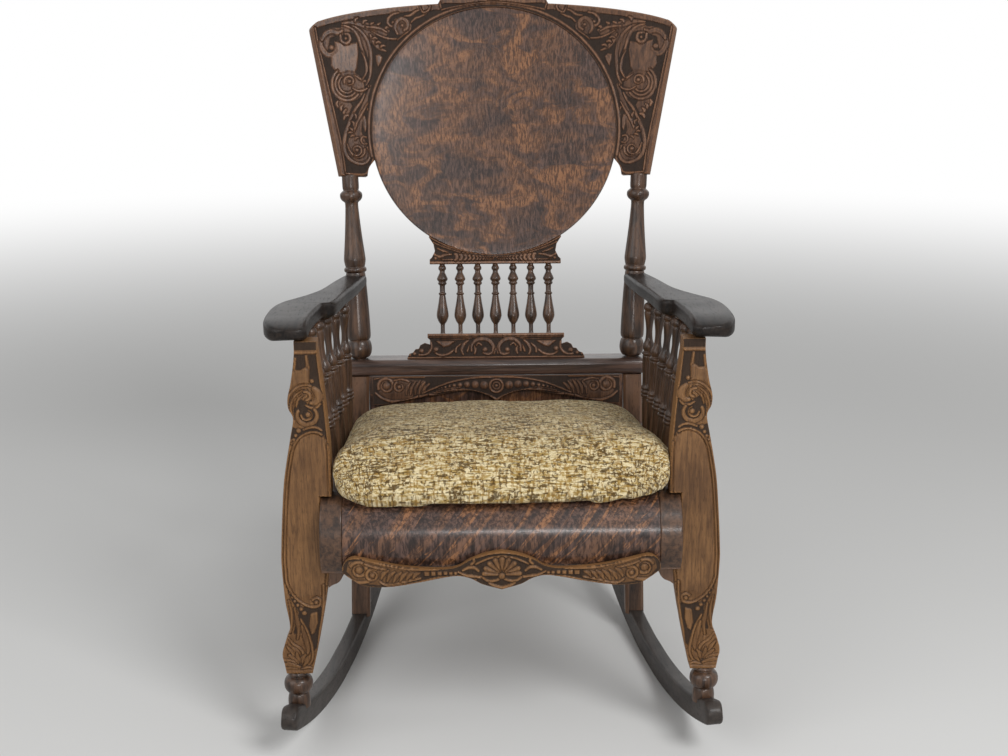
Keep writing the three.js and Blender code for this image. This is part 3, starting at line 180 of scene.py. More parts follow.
ARM_SPINDLE_SHARES = [
    (0, 0.5), (0.012, 0.66), (0.035, 0.66), (0.045, 0.52), (0.06, 0.62), (0.32, 0.8), (0.325, 0.78),
    (0.33, 0.96), (0.346, 1), (0.352, 0.8), (0.358, 0.98), (0.374, 0.98), (0.38, 0.78),
    (0.386, 0.95), (0.4, 0.94), (0.41, 0.78), (0.62, 0.9), (0.63, 0.78), (0.64, 1), (0.652, 0.98),
    (0.66, 0.66), (0.672, 0.82), (0.69, 0.88), (0.71, 0.82), (0.74, 0.52), (0.81, 0.45),
    (0.86, 0.56), (0.93, 0.82), (0.95, 0.7), (0.962, 0.93), (0.98, 0.93), (1, 0.7),
]
ARM_SPINDLE_REEDS = (0.41, 0.62)
CUSHION_LAYER_SHARES = [
    (0, 0, 0), (0.5, 0, 0), (0.76, 0, 0), (0.86, 0, 0), (0.93, 0, 0), (0.975, 0.05, 0), (1, 0.2, 0),
    (1, 0.46, 0), (0.985, 0.66, 0), (0.95, 0.82, 0.06), (0.86, 0.95, 0.28), (0.72, 1, 0.55), (0.5, 1, 0.8),
    (0.26, 1, 0.95), (0, 1, 1),
]


# Geometry

def tint(code):
    """Linear red, green and blue of a six-digit colour."""
    levels = [int(code[start:start + 2], 16) / 255 for start in (1, 3, 5)]
    return tuple(v / 12.92 if v <= 0.04045 else ((v + 0.055) / 1.055) ** 2.4 for v in levels)


def seat_height(depth):
    slope = (SEAT_REAR - SEAT_FRONT) / (BACK_LINE - SEAT_FRONT_DEPTH)
    return SEAT_FRONT + slope * (depth - SEAT_FRONT_DEPTH)


def arm_share(depth):
    return (depth - ARM_FRONT_DEPTH) / (ARM_REAR_DEPTH - ARM_FRONT_DEPTH)


def arm_height(depth):
    return ARM_FRONT_HEIGHT + arm_share(depth) * (ARM_REAR_HEIGHT - ARM_FRONT_HEIGHT)


def arm_under(depth):
    thinner = arm_share(depth) * (ARM_REAR_THICKNESS - ARM_FRONT_THICKNESS)
    return arm_height(depth) - ARM_FRONT_THICKNESS - thinner


def leg_depth(height):
    return BACK_LINE - math.tan(math.radians(POST_LEAN)) * (SHELF_TOP - height)


def upright(across, up, behind):
    return np.stack([across, behind, up], axis=-1)


def leaned(lean):
    """A placing for a board that leans back, with heights counted from the shelf's top."""
    turn = math.radians(lean)

    def place(across, up, behind):
        depth = up * math.sin(turn) + BACK_LINE + behind * math.cos(turn)
        height = up * math.cos(turn) + SHELF_TOP - behind * math.sin(turn)
        return np.stack([across, depth, height], axis=-1)
    return place


def bent(around, up, behind):
    """The crest and the round panel share one bend about an axis in front of the chair."""
    angle = around / BEND_RADIUS
    reach = BEND_RADIUS + behind
    return leaned(PANEL_LEAN)(reach * np.sin(angle), up, reach * np.cos(angle) - BEND_RADIUS)


def crest_top(around):
    share = np.minimum(np.abs(around) / CREST_HALF_WIDTH, 1)
    arch = CREST_CORNER + CREST_RISE * (1 - share ** 2) ** 0.75
    return arch + TABLET_RISE * (np.abs(around) < TABLET_HALF_WIDTH)


def spaced(path, step):
    """Points at even steps along a polyline, its two ends kept."""
    path = np.asarray(path, float)
    lengths = np.concatenate([[0], np.cumsum(np.linalg.norm(np.diff(path, axis=0), axis=1))])
    count = max(2, math.ceil(lengths[-1] / step) + 1)
    at = np.linspace(0, lengths[-1], count)
    return np.stack([np.interp(at, lengths, path[:, axis]) for axis in range(path.shape[1])], axis=1)


def spline(points, step=1.5):
    """A smooth curve through the points, at even steps."""
    given = np.asarray(points, float)
    if len(given) < 3:
        return spaced(given, step)
    padded = np.vstack([given[:1], given, given[-1:]])
    t = np.linspace(0, 1, 16, endpoint=False)[:, None]
    runs = []
    for before, start, end, after in zip(padded, padded[1:], padded[2:], padded[3:]):
        leave, enter = (end - before) / 2, (after - start) / 2
        runs.append(start + leave * t + (3 * (end - start) - 2 * leave - enter) * t ** 2
                    + (2 * (start - end) + leave + enter) * t ** 3)
    return spaced(np.vstack(runs + [given[-1:]]), step)


def corners_kept(points, step):
    """A closed outline with points added along its straight runs."""
    runs = []
    for start, end in zip(points, list(points[1:]) + [points[0]]):
        start, end = np.asarray(start, float), np.asarray(end, float)
        pieces = max(1, math.ceil(np.linalg.norm(end - start) / step))
        runs.extend(start + (end - start) * piece / pieces for piece in range(pieces))
    loop = [runs[0]]
    for at in runs[1:]:
        if np.linalg.norm(at - loop[-1]) > step / 10:
            loop.append(at)
    return np.array(loop)


def both_sides(half):
    """A closed outline from its right half, which runs from the middle round to the middle."""
    return list(half) + [(-across, up) for across, up in reversed(half) if abs(across) > 1e-6]


def cut_corners(profile, rounds=2, share=0.22):
    """Eases the corners of a turned profile, its two ends kept."""
    points = np.asarray(profile, float)
    for _ in range(rounds):
        near = points[:-1] + (points[1:] - points[:-1]) * share
        far = points[1:] - (points[1:] - points[:-1]) * share
        eased = np.stack([near, far], axis=1).reshape(-1, 2)
        points = np.vstack([points[:1], eased[1:-1], points[-1:]])
    return points


def oval(centre, wide, tall, turns):
    """Points round a centre, at the angles given."""
    return [(centre[0] + wide * math.cos(turn), centre[1] + tall * math.sin(turn)) for turn in turns]


def distances(points, outline):
    """How far each point lies from the nearest point of an outline."""
    tree = kdtree.KDTree(len(outline))
    for index, (across, up) in enumerate(outline):
        tree.insert((across, up, 0), index)
    tree.balance()
    return np.array([tree.find((across, up, 0))[2] for across, up in points])


def sheet(outline, spacing):
    """Triangles that fill an outline: its own points, with a grid of points inside."""
    low, high = outline.min(axis=0), outline.max(axis=0)
    columns, rows = np.meshgrid(*(np.arange(low[axis], high[axis], spacing) for axis in (0, 1)))
    columns[1::2] += spacing / 2
    grid = np.stack([columns.ravel(), rows.ravel()], axis=1)
    grid = grid[distances(grid, outline) > spacing / 2]
    points = [Vector(at) for at in np.vstack([outline, grid])]
    border = [(index, (index + 1) % len(outline)) for index in range(len(outline))]
    found = delaunay_2d_cdt(points, border, [], 1, 1e-6)
    faces = np.array(found[2])
    used, numbers = np.unique(faces, return_inverse=True)
    return np.array([tuple(at) for at in found[0]])[used], numbers.reshape(-1, 3)


def open_edges(faces):
    ways = {(face[turn], face[(turn + 1) % 3]) for face in faces.tolist() for turn in range(3)}
    return [(a, b) for a, b in ways if (b, a) not in ways]


def add_piece(name, node, skin, finish, body="chair", sharp=38, carved=None):
    """Makes one mesh from a skin in millimetres, and hides the node it stands for."""
    points, faces = skin
    mesh = bpy.data.meshes.new(name)
    places = np.asarray(points, float) * MM + np.array([0, FRONT_PLANE, 0])
    mesh.from_pydata(places.tolist(), [], [list(face) for face in faces])
    build = bmesh.new()
    build.from_mesh(mesh)
    bmesh.ops.recalc_face_normals(build, faces=build.faces)
    build.to_mesh(mesh)
    build.free()
    mesh.shade_smooth()
    mesh.set_sharp_from_angle(angle=math.radians(sharp))
    if carved is not None:
        mesh.attributes.new("carved", "FLOAT", "POINT").data.foreach_set("value", carved)
    mesh.materials.append(bpy.data.materials[finish])
    piece = bpy.data.objects.new(name, mesh)
    bpy.context.scene.collection.objects.link(piece)
    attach(piece, body)
    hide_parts(node)
    return piece


def soften(piece, width, segments=3):
    """Rounds the sharp edges of a plain board."""
    bevel = piece.modifiers.new("eased_edges", "BEVEL")
    bevel.width = width * MM
    bevel.segments = segments
    bevel.limit_method = "ANGLE"
    bevel.angle_limit = math.radians(35)
    bevel.harden_normals = False


def strung(rings):
    """Faces of a closed skin over rings of equal count, with both ends filled."""
    count = len(rings[0])
    faces = []
    for ring in range(len(rings) - 1):
        near, far = ring * count, (ring + 1) * count
        for turn in range(count):
            after = (turn + 1) % count
            faces.append((near + turn, near + after, far + after, far + turn))
    last = (len(rings) - 1) * count
    faces.append(tuple(reversed(range(count))))
    faces.append(tuple(range(last, last + count)))
    return np.concatenate(rings), faces


def turned(profile, foot, top, sides=48, reeds=None):
    """Rings of a turned piece that stands on the line from foot to top."""
    foot, top = Vector(foot), Vector(top)
    turn = (top - foot).to_track_quat("Z", "Y")
    angles = np.linspace(0, 2 * math.pi, sides, endpoint=False)
    rings = []
    for height, radius in profile:
        reach = np.full(sides, radius)
        if reeds and reeds[0] < height < reeds[1]:
            reach = radius * (0.86 + 0.14 * np.abs(np.cos(angles * 6)))
        ring = [turn @ Vector((r * math.cos(a), r * math.sin(a), height)) + foot
                for r, a in zip(reach, angles)]
        rings.append(np.array(ring))
    return strung(rings)


def prism(outline, low, high):
    """A profile in the YZ plane, drawn out along X."""
    return strung([np.array([(across, depth, height) for depth, height in outline])
                   for across in (low, high)])


# Carving

class Relief:
    """A board's carved face: 0 is the sunk ground and 1 the board's own face."""

    cell = 0.6
    groove = 1.1

    def __init__(self, low, high, level=0.0):
        self.low = np.array(low, float)
        self.across, self.up = np.meshgrid(
            np.arange(low[0], high[0] + self.cell, self.cell),
            np.arange(low[1], high[1] + self.cell, self.cell),
        )
        self.level = np.full(self.across.shape, float(level))

    def window(self, points, margin):
        points = np.asarray(points)
        first = np.floor((points.min(axis=0) - margin - self.low) / self.cell).astype(int)
        last = np.ceil((points.max(axis=0) + margin - self.low) / self.cell).astype(int) + 1
        first, last = np.maximum(first, 0), np.maximum(last, 0)
        return slice(first[1], last[1]), slice(first[0], last[0])

    def gap_to(self, path, halves):
        """How far each cell lies outside a line of changing width, and its share of the half width."""
        gap = np.full(self.level.shape, np.inf)
        share = np.full(self.level.shape, np.inf)
        reach = float(np.max(halves)) + self.groove + self.cell
        for start, end, near, far in zip(path, path[1:], halves, halves[1:]):
            place = self.window([start, end], reach)
            away = np.stack([self.across[place] - start[0], self.up[place] - start[1]])
            along = end - start
            t = np.tensordot(along, away, 1) / max(along @ along, 1e-9)
            t = np.clip(t, 0, 1)
            distance = np.hypot(away[0] - along[0] * t, away[1] - along[1] * t)
            half = near + (far - near) * t
            closer = distance - half < gap[place]
            gap[place] = np.where(closer, distance - half, gap[place])
            share[place] = np.where(closer, distance / half, share[place])
        return gap, share

    def line(self, points, *halves, top=1.0, edge=0.35, vein=0.0):
        """A rounded stroke that lies over what is there, with a groove cut round it."""
        path = spline(points)
        widths = np.interp(np.linspace(0, 1, len(path)), np.linspace(0, 1, len(halves)), halves)
        gap, share = self.gap_to(path, widths)
        inside = gap < 0
        round_top = np.sqrt(np.clip(1 - np.where(inside, share, 1) ** 2, 0, 1))
        crown = edge + (top - edge) * round_top - vein * np.exp(-(np.where(inside, share, 9) / 0.25) ** 2)
        self.level = np.where(inside, crown, self.level)
        beside = (gap >= 0) & (gap < self.groove)
        self.level = np.where(beside, np.minimum(self.level, 0.12), self.level)

    def ball(self, across, up, radius, top=1.0):
        self.line([(across, up), (across + 0.01, up)], radius, radius, top=top, edge=0.1)

    def balls(self, places):
        for across, up, radius in places:
            self.ball(across, up, radius)

    def scroll(self, centre, radius, start, turns, half, eye=0.3):
        """A spiral that winds in to a round eye; a negative count of turns winds clockwise."""
        share = np.linspace(0, 1, 24)
        angle = math.radians(start) + share * turns * 2 * math.pi
        reach = radius * (1 - (1 - eye) * share)
        points = np.stack([centre[0] + reach * np.cos(angle), centre[1] + reach * np.sin(angle)], axis=1)
        self.line(points, half, half, half * 0.8)
        self.ball(centre[0], centre[1], radius * eye)

    def fronds(self, points, side, count, length, half, first=0.1, last=0.9, lean=50):
        """Small leaves that stand along one side of a stem."""
        path = spline(points)
        for share in np.linspace(first, last, count):
            index = min(int(share * (len(path) - 1)), len(path) - 2)
            along = path[index + 1] - path[index]
            angle = math.atan2(along[1], along[0]) + side * math.radians(lean)
            tip = path[index] + length * np.array([math.cos(angle), math.sin(angle)])
            bend = angle + side * math.radians(30)
            middle = path[index] + length / 2 * np.array([math.cos(bend), math.sin(bend)])
            self.line([path[index], middle, tip], half * 0.6, half, half * 0.5)

    def leaf(self, base, tip, bow, *halves):
        """A veined leaf that bows out on its way from base to tip."""
        middle = ((base[0] + tip[0]) / 2 + bow[0], (base[1] + tip[1]) / 2 + bow[1])
        self.line([base, middle, tip], *halves, vein=0.25)

    def inside(self, points):
        """Which cells lie inside a closed outline."""
        points = [tuple(at) for at in points]
        odd = np.zeros(self.level.shape, bool)
        for (x0, y0), (x1, y1) in zip(points, points[1:] + points[:1]):
            if y0 == y1:
                continue
            spans = (self.up > min(y0, y1)) & (self.up <= max(y0, y1))
            odd ^= spans & (self.across < x0 + (self.up - y0) * (x1 - x0) / (y1 - y0))
        return odd

    def field(self, points, level, soft=2.0):
        """A flat field with eased edges."""
        loop = spaced(list(points) + [points[0]], 1.5)
        gap, _ = self.gap_to(loop, np.full(len(loop), soft))
        eased = np.clip((gap + soft) / soft, 0, 1)
        eased = np.sqrt(np.clip(1 - (1 - eased) ** 2, 0, 1))
        inside = self.inside(points)
        self.level = np.where(inside, level * (0.4 + 0.6 * eased), self.level)

    def sink(self, mask, level):
        self.level = np.where(mask, level, self.level)

    def mirror(self):
        """Repeats the left half on the right."""
        other = self.level[:, ::-1]
        self.level = np.where(self.across > 0, other, self.level)

    def sample(self, points):
        place = (points - self.low) / self.cell
        rows, columns = self.level.shape
        column = np.clip(place[:, 0], 0, columns - 1.001)
        row = np.clip(place[:, 1], 0, rows - 1.001)
        left, below = column.astype(int), row.astype(int)
        right, above = column - left, row - below
        low = self.level[below, left] * (1 - right) + self.level[below, left + 1] * right
        high = self.level[below + 1, left] * (1 - right) + self.level[below + 1, left + 1] * right
        return low * (1 - above) + high * above


def carved_board(name, node, outline, relief, place, front, back, finish="carved_wood", flip=False):
    """A board whose front carries a relief; its rear is plain."""
    carving = bpy.context.scene.rocker_carving
    spacing = carving.spacing / MM
    loop = corners_kept(outline, spacing * 1.3)
    face, face_triangles = sheet(loop, spacing)
    rear, rear_triangles = sheet(loop, REAR_SPACING)
    level = relief.sample(face)
    away = distances(face, loop)
    ease = carving.edge_round / MM
    worn = ease - np.sqrt(np.clip(ease ** 2 - np.clip(ease - away, 0, ease) ** 2, 0, None))
    sunk = (1 - level) * carving.depth / MM
    behind = front + np.maximum(sunk, worn)
    points = np.vstack([
        place(face[:, 0], face[:, 1], behind),
        place(rear[:, 0], rear[:, 1], np.full(len(rear), float(back))),
    ])
    rear_triangles = rear_triangles + len(face)
    rear_at = {tuple(np.round(at, 4)): index + len(face) for index, at in enumerate(rear)}
    faces = face_triangles.tolist() + [face[::-1] for face in rear_triangles.tolist()]
    for start, end in open_edges(face_triangles):
        below = [rear_at.get(tuple(np.round(face[at], 4))) for at in (start, end)]
        if None not in below:
            faces.append((end, start, below[0], below[1]))
    carved = np.concatenate([np.where(away < 0.2, SIDE_LEVEL, level), np.full(len(rear), SIDE_LEVEL)])
    if flip:
        points[:, 0] *= -1
    add_piece(name, node, (points, faces), finish, carved=carved)


# Materials

class Wire:
    """A value that changes over a surface; maths on it adds Math nodes."""

    def __init__(self, shader, socket):
        self.shader = shader
        self.socket = socket

    def maths(self, operation, *values):
        return self.shader.node("ShaderNodeMath", {"operation": operation}, values)

    def __add__(self, other):
        return self.maths("ADD", self, other)

    def __sub__(self, other):
        return self.maths("SUBTRACT", self, other)

    def __rsub__(self, other):
        return self.maths("SUBTRACT", other, self)

    def __mul__(self, other):
        return self.maths("MULTIPLY", self, other)

    __radd__ = __add__
    __rmul__ = __mul__


class Shader:
    """The nodes of one material, or of the world."""

    def __init__(self, owner):
        owner.use_nodes = True
        self.tree = owner.node_tree
        self.tree.nodes.clear()

    def node(self, kind, settings=None, inputs=(), output=0):
        made = self.tree.nodes.new(kind)
        for setting, value in (settings or {}).items():
            setattr(made, setting, value)
        pairs = inputs.items() if isinstance(inputs, dict) else enumerate(inputs)
        for key, value in pairs:
            self.feed(made.inputs[key], value)
        return Wire(self, made.outputs[output]) if made.outputs else None

    def feed(self, socket, value):
        if isinstance(value, Wire):
            self.tree.links.new(value.socket, socket)
        elif hasattr(socket.default_value, "__len__") and len(value) < len(socket.default_value):
            socket.default_value = (*value, 1)
        else:
            socket.default_value = value

    def place(self, stretch=(1, 1, 1), turn=(0, 0, 0)):
        """Object coordinates, turned and then stretched."""
        coords = self.node("ShaderNodeTexCoord", output="Object")
        if any(turn):
            coords = self.node("ShaderNodeVectorRotate", {"rotation_type": "EULER_XYZ"},
                               {"Vector": coords, "Rotation": turn})
        return self.node("ShaderNodeVectorMath", {"operation": "MULTIPLY"}, [coords, stretch])

    def noise(self, vector, scale, detail=4, roughness=0.55, distortion=0.0):
        return self.node("ShaderNodeTexNoise", {}, {
            "Vector": vector, "Scale": scale, "Detail": detail, "Roughness": roughness,
            "Distortion": distortion,
        })

    def ease(self, value, low, high):
        """0 below low and 1 above high, smooth between."""
        return self.node("ShaderNodeMapRange", {"interpolation_type": "SMOOTHSTEP"},
                         {"Value": value, "From Min": low, "From Max": high})

    def blend(self, share, low, high):
        return self.node("ShaderNodeMix", {"data_type": "RGBA"}, {0: share, 6: low, 7: high}, 2)

    def shade(self, share, colour, darker):
        """Multiplies a colour by a darker one, as far as the share says."""
        settings = {"data_type": "RGBA", "blend_type": "MULTIPLY"}
        return self.node("ShaderNodeMix", settings, {0: share, 6: colour, 7: darker}, 2)

    def bump(self, height, distance):
        return self.node("ShaderNodeBump", {}, {"Height": height, "Distance": distance, "Strength": 1.0})

    def finish(self, **sockets):
        inputs = {name.replace("_", " "): value for name, value in sockets.items()}
        surface = self.node("ShaderNodeBsdfPrincipled", {}, inputs)
        self.node("ShaderNodeOutputMaterial", {}, {"Surface": surface})


def grain(shader, stretch, scale=1.0):
    """Growth lines, open pores and cloudy stain of oak whose grain runs where the stretch is small."""
    along = shader.place(stretch)
    growth = shader.noise(along, 120 * scale, 5, 0.6, 0.6)
    pores = shader.ease(shader.noise(along, 620 * scale, 3, 0.6), 0.56, 0.68)
    clouds = shader.noise(shader.place(), 11, 4, 0.6)
    return growth, pores, clouds


def plain_oak(name, dark, light, stretch, gloss, coat=0.35, shine=0.22):
    """Stained oak with worn edges, pores and cloudy colour."""
    shader = Shader(bpy.data.materials.new(name))
    growth, pores, clouds = grain(shader, stretch)
    worn = shader.ease(shader.node("ShaderNodeNewGeometry", output="Pointiness"), 0.52, 0.6)
    colour = shader.blend(shader.ease(growth, 0.3, 0.7), dark, light)
    colour = shader.shade(shader.ease(clouds, 0.45, 0.7) * 0.55, colour, tint("#8a7f78"))
    colour = shader.blend(worn * 0.35, colour, [min(1, level * 1.9) for level in light])
    colour = shader.shade(pores * 0.55, colour, tint("#4a3c34"))
    height = growth * 0.4 - pores * 0.8
    shader.finish(
        Base_Color=colour, Roughness=gloss + clouds * 0.18 + pores * 0.12, Specular_IOR_Level=shine,
        Coat_Weight=coat, Coat_Roughness=0.2, Normal=shader.bump(height, 0.0002),
    )


def figured_oak(name, tones, flakes, flake_turn, cover, grain_stretch, gloss, streak):
    """Quarter-sawn oak: bright ray flakes cross the fine dark grain."""
    dark, light, flake = tones
    shader = Shader(bpy.data.materials.new(name))
    growth, pores, clouds = grain(shader, grain_stretch, scale=1.2)
    lines = shader.noise(shader.place(grain_stretch), 360, 4, 0.65)
    wander = shader.noise(shader.place((3, 3, 3)), 3.2, 3, 0.5)
    flames = shader.place(flakes, flake_turn)
    sway = shader.node("ShaderNodeVectorMath", {"operation": "MULTIPLY_ADD"},
                       [wander, (1.4, 1.4, 1.4), flames])
    rays = shader.noise(sway, 1.0, 4, 0.6, 0.9)
    halves = shader.node("ShaderNodeVectorMath", {"operation": "MULTIPLY"}, [sway, (0.55, 0.55, 0.6)])
    warm = shader.noise(halves, 1.0, 3, 0.6, 0.6)
    colour = shader.blend(shader.ease(growth, 0.3, 0.7), dark, light)
    colour = shader.blend(shader.ease(warm, 0.42, 0.62) * 0.3, colour, flake)
    colour = shader.blend(shader.ease(rays * (1 - streak) + lines * streak, *cover) * 0.75, colour, flake)
    colour = shader.shade(shader.ease(lines, 0.42, 0.58) * 0.8, colour, tint("#5e4d45"))
    colour = shader.shade(pores * 0.6, colour, tint("#4a382e"))
    height = lines * 0.5 - pores * 0.8
    shader.finish(
        Base_Color=colour, Roughness=gloss + clouds * 0.12 + lines * 0.12, Specular_IOR_Level=0.25,
        Coat_Weight=0.3, Coat_Roughness=0.18, Normal=shader.bump(height, 0.0002),
    )


def carved_oak(name, ground, dark, light, gloss):
    """Carved oak: the ground is dark and punched, and the highs are rubbed pale."""
    shader = Shader(bpy.data.materials.new(name))
    growth, pores, clouds = grain(shader, (1, 1, 0.09), scale=1.7)
    carved = shader.node("ShaderNodeAttribute", {"attribute_name": "carved"}, output="Fac")
    punch = shader.node("ShaderNodeTexVoronoi", {"distance": "EUCLIDEAN"}, {
        "Vector": shader.place(), "Scale": 720,
    })
    low = 1 - shader.ease(carved, 0.12, 0.5)
    high = shader.ease(carved, 0.72, 1.0)
    colour = shader.blend(shader.ease(growth, 0.3, 0.7), dark, light)
    colour = shader.shade(shader.ease(clouds, 0.4, 0.68) * 0.5, colour, tint("#8f8078"))
    colour = shader.blend((1 - high) * 0.45, colour, dark)
    worn = shader.ease(shader.node("ShaderNodeNewGeometry", output="Pointiness"), 0.51, 0.56)
    colour = shader.blend(worn * 0.4, colour, [min(1, level * 1.5) for level in light])
    colour = shader.blend(low * 0.88, colour, ground)
    colour = shader.shade(pores * 0.5, colour, tint("#503f35"))
    height = growth * 0.3 - pores * 0.5 + punch * low * 1.4
    shader.finish(
        Base_Color=colour, Roughness=gloss + low * 0.3 + clouds * 0.15, Specular_IOR_Level=0.2,
        Coat_Weight=high * 0.2, Coat_Roughness=0.25, Normal=shader.bump(height, 0.00025),
    )


def chenille(name, pale, cream, gold, brown):
    """Chenille tweed: thick pale yarn, with gold and brown slubs both ways."""
    thread = bpy.context.scene.rocker_cushion.thread
    shader = Shader(bpy.data.materials.new(name))
    weave = shader.node("ShaderNodeAttribute", {"attribute_name": "weave"}, output="Vector")
    pitch = 1 / thread

    def streaks(across, up, seed):
        stretched = shader.node("ShaderNodeVectorMath", {"operation": "MULTIPLY_ADD"},
                                [weave, (across * pitch, up * pitch, 0), (seed, seed, seed)])
        return shader.noise(stretched, 1.0, 2, 0.5)

    weft = streaks(0.2, 0.95, 3.1)
    warp = streaks(0.95, 0.2, 8.7)
    slubs = streaks(0.26, 0.8, 15.4)
    knots = streaks(0.75, 0.3, 23.9)
    clouds = streaks(0.05, 0.06, 31.3)
    colour = shader.blend(shader.ease(weft, 0.4, 0.6), cream, pale)
    colour = shader.blend(shader.ease(warp, 0.48, 0.6) * 0.7, colour, gold)
    lean = clouds * 0.16 + 0.07
    colour = shader.blend(shader.ease(slubs + lean, 0.68, 0.76) * 0.85, colour, brown)
    colour = shader.blend(shader.ease(knots + lean, 0.7, 0.78) * 0.8, colour, brown)
    colour = shader.blend(shader.ease(streaks(0.8, 0.7, 41.7), 0.56, 0.66) * 0.7, colour, pale)
    specks = streaks(1.0, 1.0, 53.3)
    yarn = shader.node("ShaderNodeVectorMath", {"operation": "SCALE"}, {0: weave, "Scale": math.pi * pitch})
    parts = [shader.node("ShaderNodeSeparateXYZ", {}, [yarn], output=axis) for axis in (0, 1)]
    ribs = [part.maths("SINE", part) for part in parts]
    height = (ribs[0] * ribs[1]) * 0.3 + weft * 0.8 + specks * 0.7
    shader.finish(
        Base_Color=colour, Roughness=0.95, Specular_IOR_Level=0.15, Sheen_Weight=0.08,
        Normal=shader.bump(height, 0.0016),
    )


def steel(name):
    shader = Shader(bpy.data.materials.new(name))
    dull = shader.noise(shader.place(), 300, 4, 0.6)
    colour = shader.blend(dull, tint("#6d6b68"), tint("#8d8b88"))
    shader.finish(Base_Color=colour, Metallic=0.9, Roughness=0.35 + dull * 0.25)


# Settings

def colour_setting(name, description, code):
    return FloatVectorProperty(
        name=name, description=description, subtype="COLOR", default=tint(code), min=0, max=1)


def length_setting(name, description, default, low, high):
    """A length whose default and limits are given in millimetres."""
    return FloatProperty(
        name=name, description=description, default=default * MM, min=low * MM, max=high * MM,
        unit="LENGTH", precision=4)


class RockerWood(bpy.types.PropertyGroup):
    """Colours of the stained oak."""

    frame_dark: colour_setting("Frame, dark", "Dark grain of the frame", "#291d16")
    frame_light: colour_setting("Frame, light", "Light grain of the frame", "#59402f")
    ground: colour_setting("Carved ground", "Sunk ground behind the carving", "#261e19")
    carved_dark: colour_setting("Carving, dark", "Dark grain of the carved boards", "#3d2a20")
    carved_light: colour_setting("Carving, light", "Rubbed highs of the carved boards", "#7a573f")
    post_dark: colour_setting("Posts, dark", "Dark grain of the front posts and apron", "#593d24")
    post_light: colour_setting("Posts, light", "Rubbed highs of the front posts and apron", "#7d5a37")
    figure_dark: colour_setting("Figured, dark", "Dark grain of the figured panels", "#31231e")
    figure_light: colour_setting("Figured, light", "Light grain of the figured panels", "#5b443b")
    figure_flake: colour_setting("Ray flakes", "Bright ray flakes of the figured panels", "#8f6240")
    arm_dark: colour_setting("Arms, dark", "Polished arms, dark grain", "#171413")
    arm_light: colour_setting("Arms, light", "Polished arms, light grain", "#2b2420")


class RockerCarving(bpy.types.PropertyGroup):
    """Sizes of the carving."""

    depth: length_setting(
        "Depth", "How far the ground is sunk", 2.2, 0, 4)
    spacing: length_setting(
        "Spacing", "Distance between points on a carved face", 1.25, 0.6, 5)
    edge_round: length_setting(
        "Edge round", "Radius worn on to the boards' front edges", 2.0, 0.1, 4)


class RockerCushion(bpy.types.PropertyGroup):
    """Sizes and colours of the cushion."""

    pressure: FloatProperty(
        name="Pressure", description="How hard the filling pushes", default=4, min=0, max=20)
    swell: length_setting(
        "Swell", "Furthest that a point may move as the cushion fills", 9, 0, 20)
    voxel: length_setting(
        "Voxel", "Cell of the remesh before the cushion is filled", 5, 3, 12)
    frames: IntProperty(
        name="Frames", description="Steps of the filling", default=20, min=2, max=60)
    thread: length_setting(
        "Thread", "Width of one yarn", 3.4, 0.5, 8)
    cream: colour_setting("Cream", "Main yarn", "#a0864f")
    pale: colour_setting("Pale", "Palest yarn", "#d9caa4")
    gold: colour_setting("Gold", "Gold slubs", "#8a682c")
    brown: colour_setting("Brown", "Brown slubs", "#4d3a1e")


class RockerStage(bpy.types.PropertyGroup):
    """Camera, floor and lights."""

    camera: FloatVectorProperty(
        name="Camera", description="Where the camera stands", subtype="TRANSLATION",
        default=(-0.0293, -2.1526, 1.0646), unit="LENGTH")
    pitch: FloatProperty(
        name="Pitch", description="How far the camera looks down", subtype="ANGLE",
        default=math.radians(15.398))
    yaw: FloatProperty(
        name="Yaw", description="How far the camera looks to the right", subtype="ANGLE",
        default=math.radians(1.073))
    roll: FloatProperty(
        name="Roll", description="How far the camera is tipped", subtype="ANGLE",
        default=math.radians(0.245))
    lens: FloatProperty(
        name="Lens", description="Focal length on a 36 mm sensor", default=50, min=10, max=200)
    key: FloatProperty(name="Key light", description="Power of the main lamp", default=62, min=0)
    fill: FloatProperty(name="Fill light", description="Power of the soft lamp", default=26, min=0)
    low: FloatProperty(name="Low light", description="Power of the low front lamp", default=20, min=0)
    sky: FloatProperty(name="Room light", description="Strength of the even light", default=0.42, min=0)


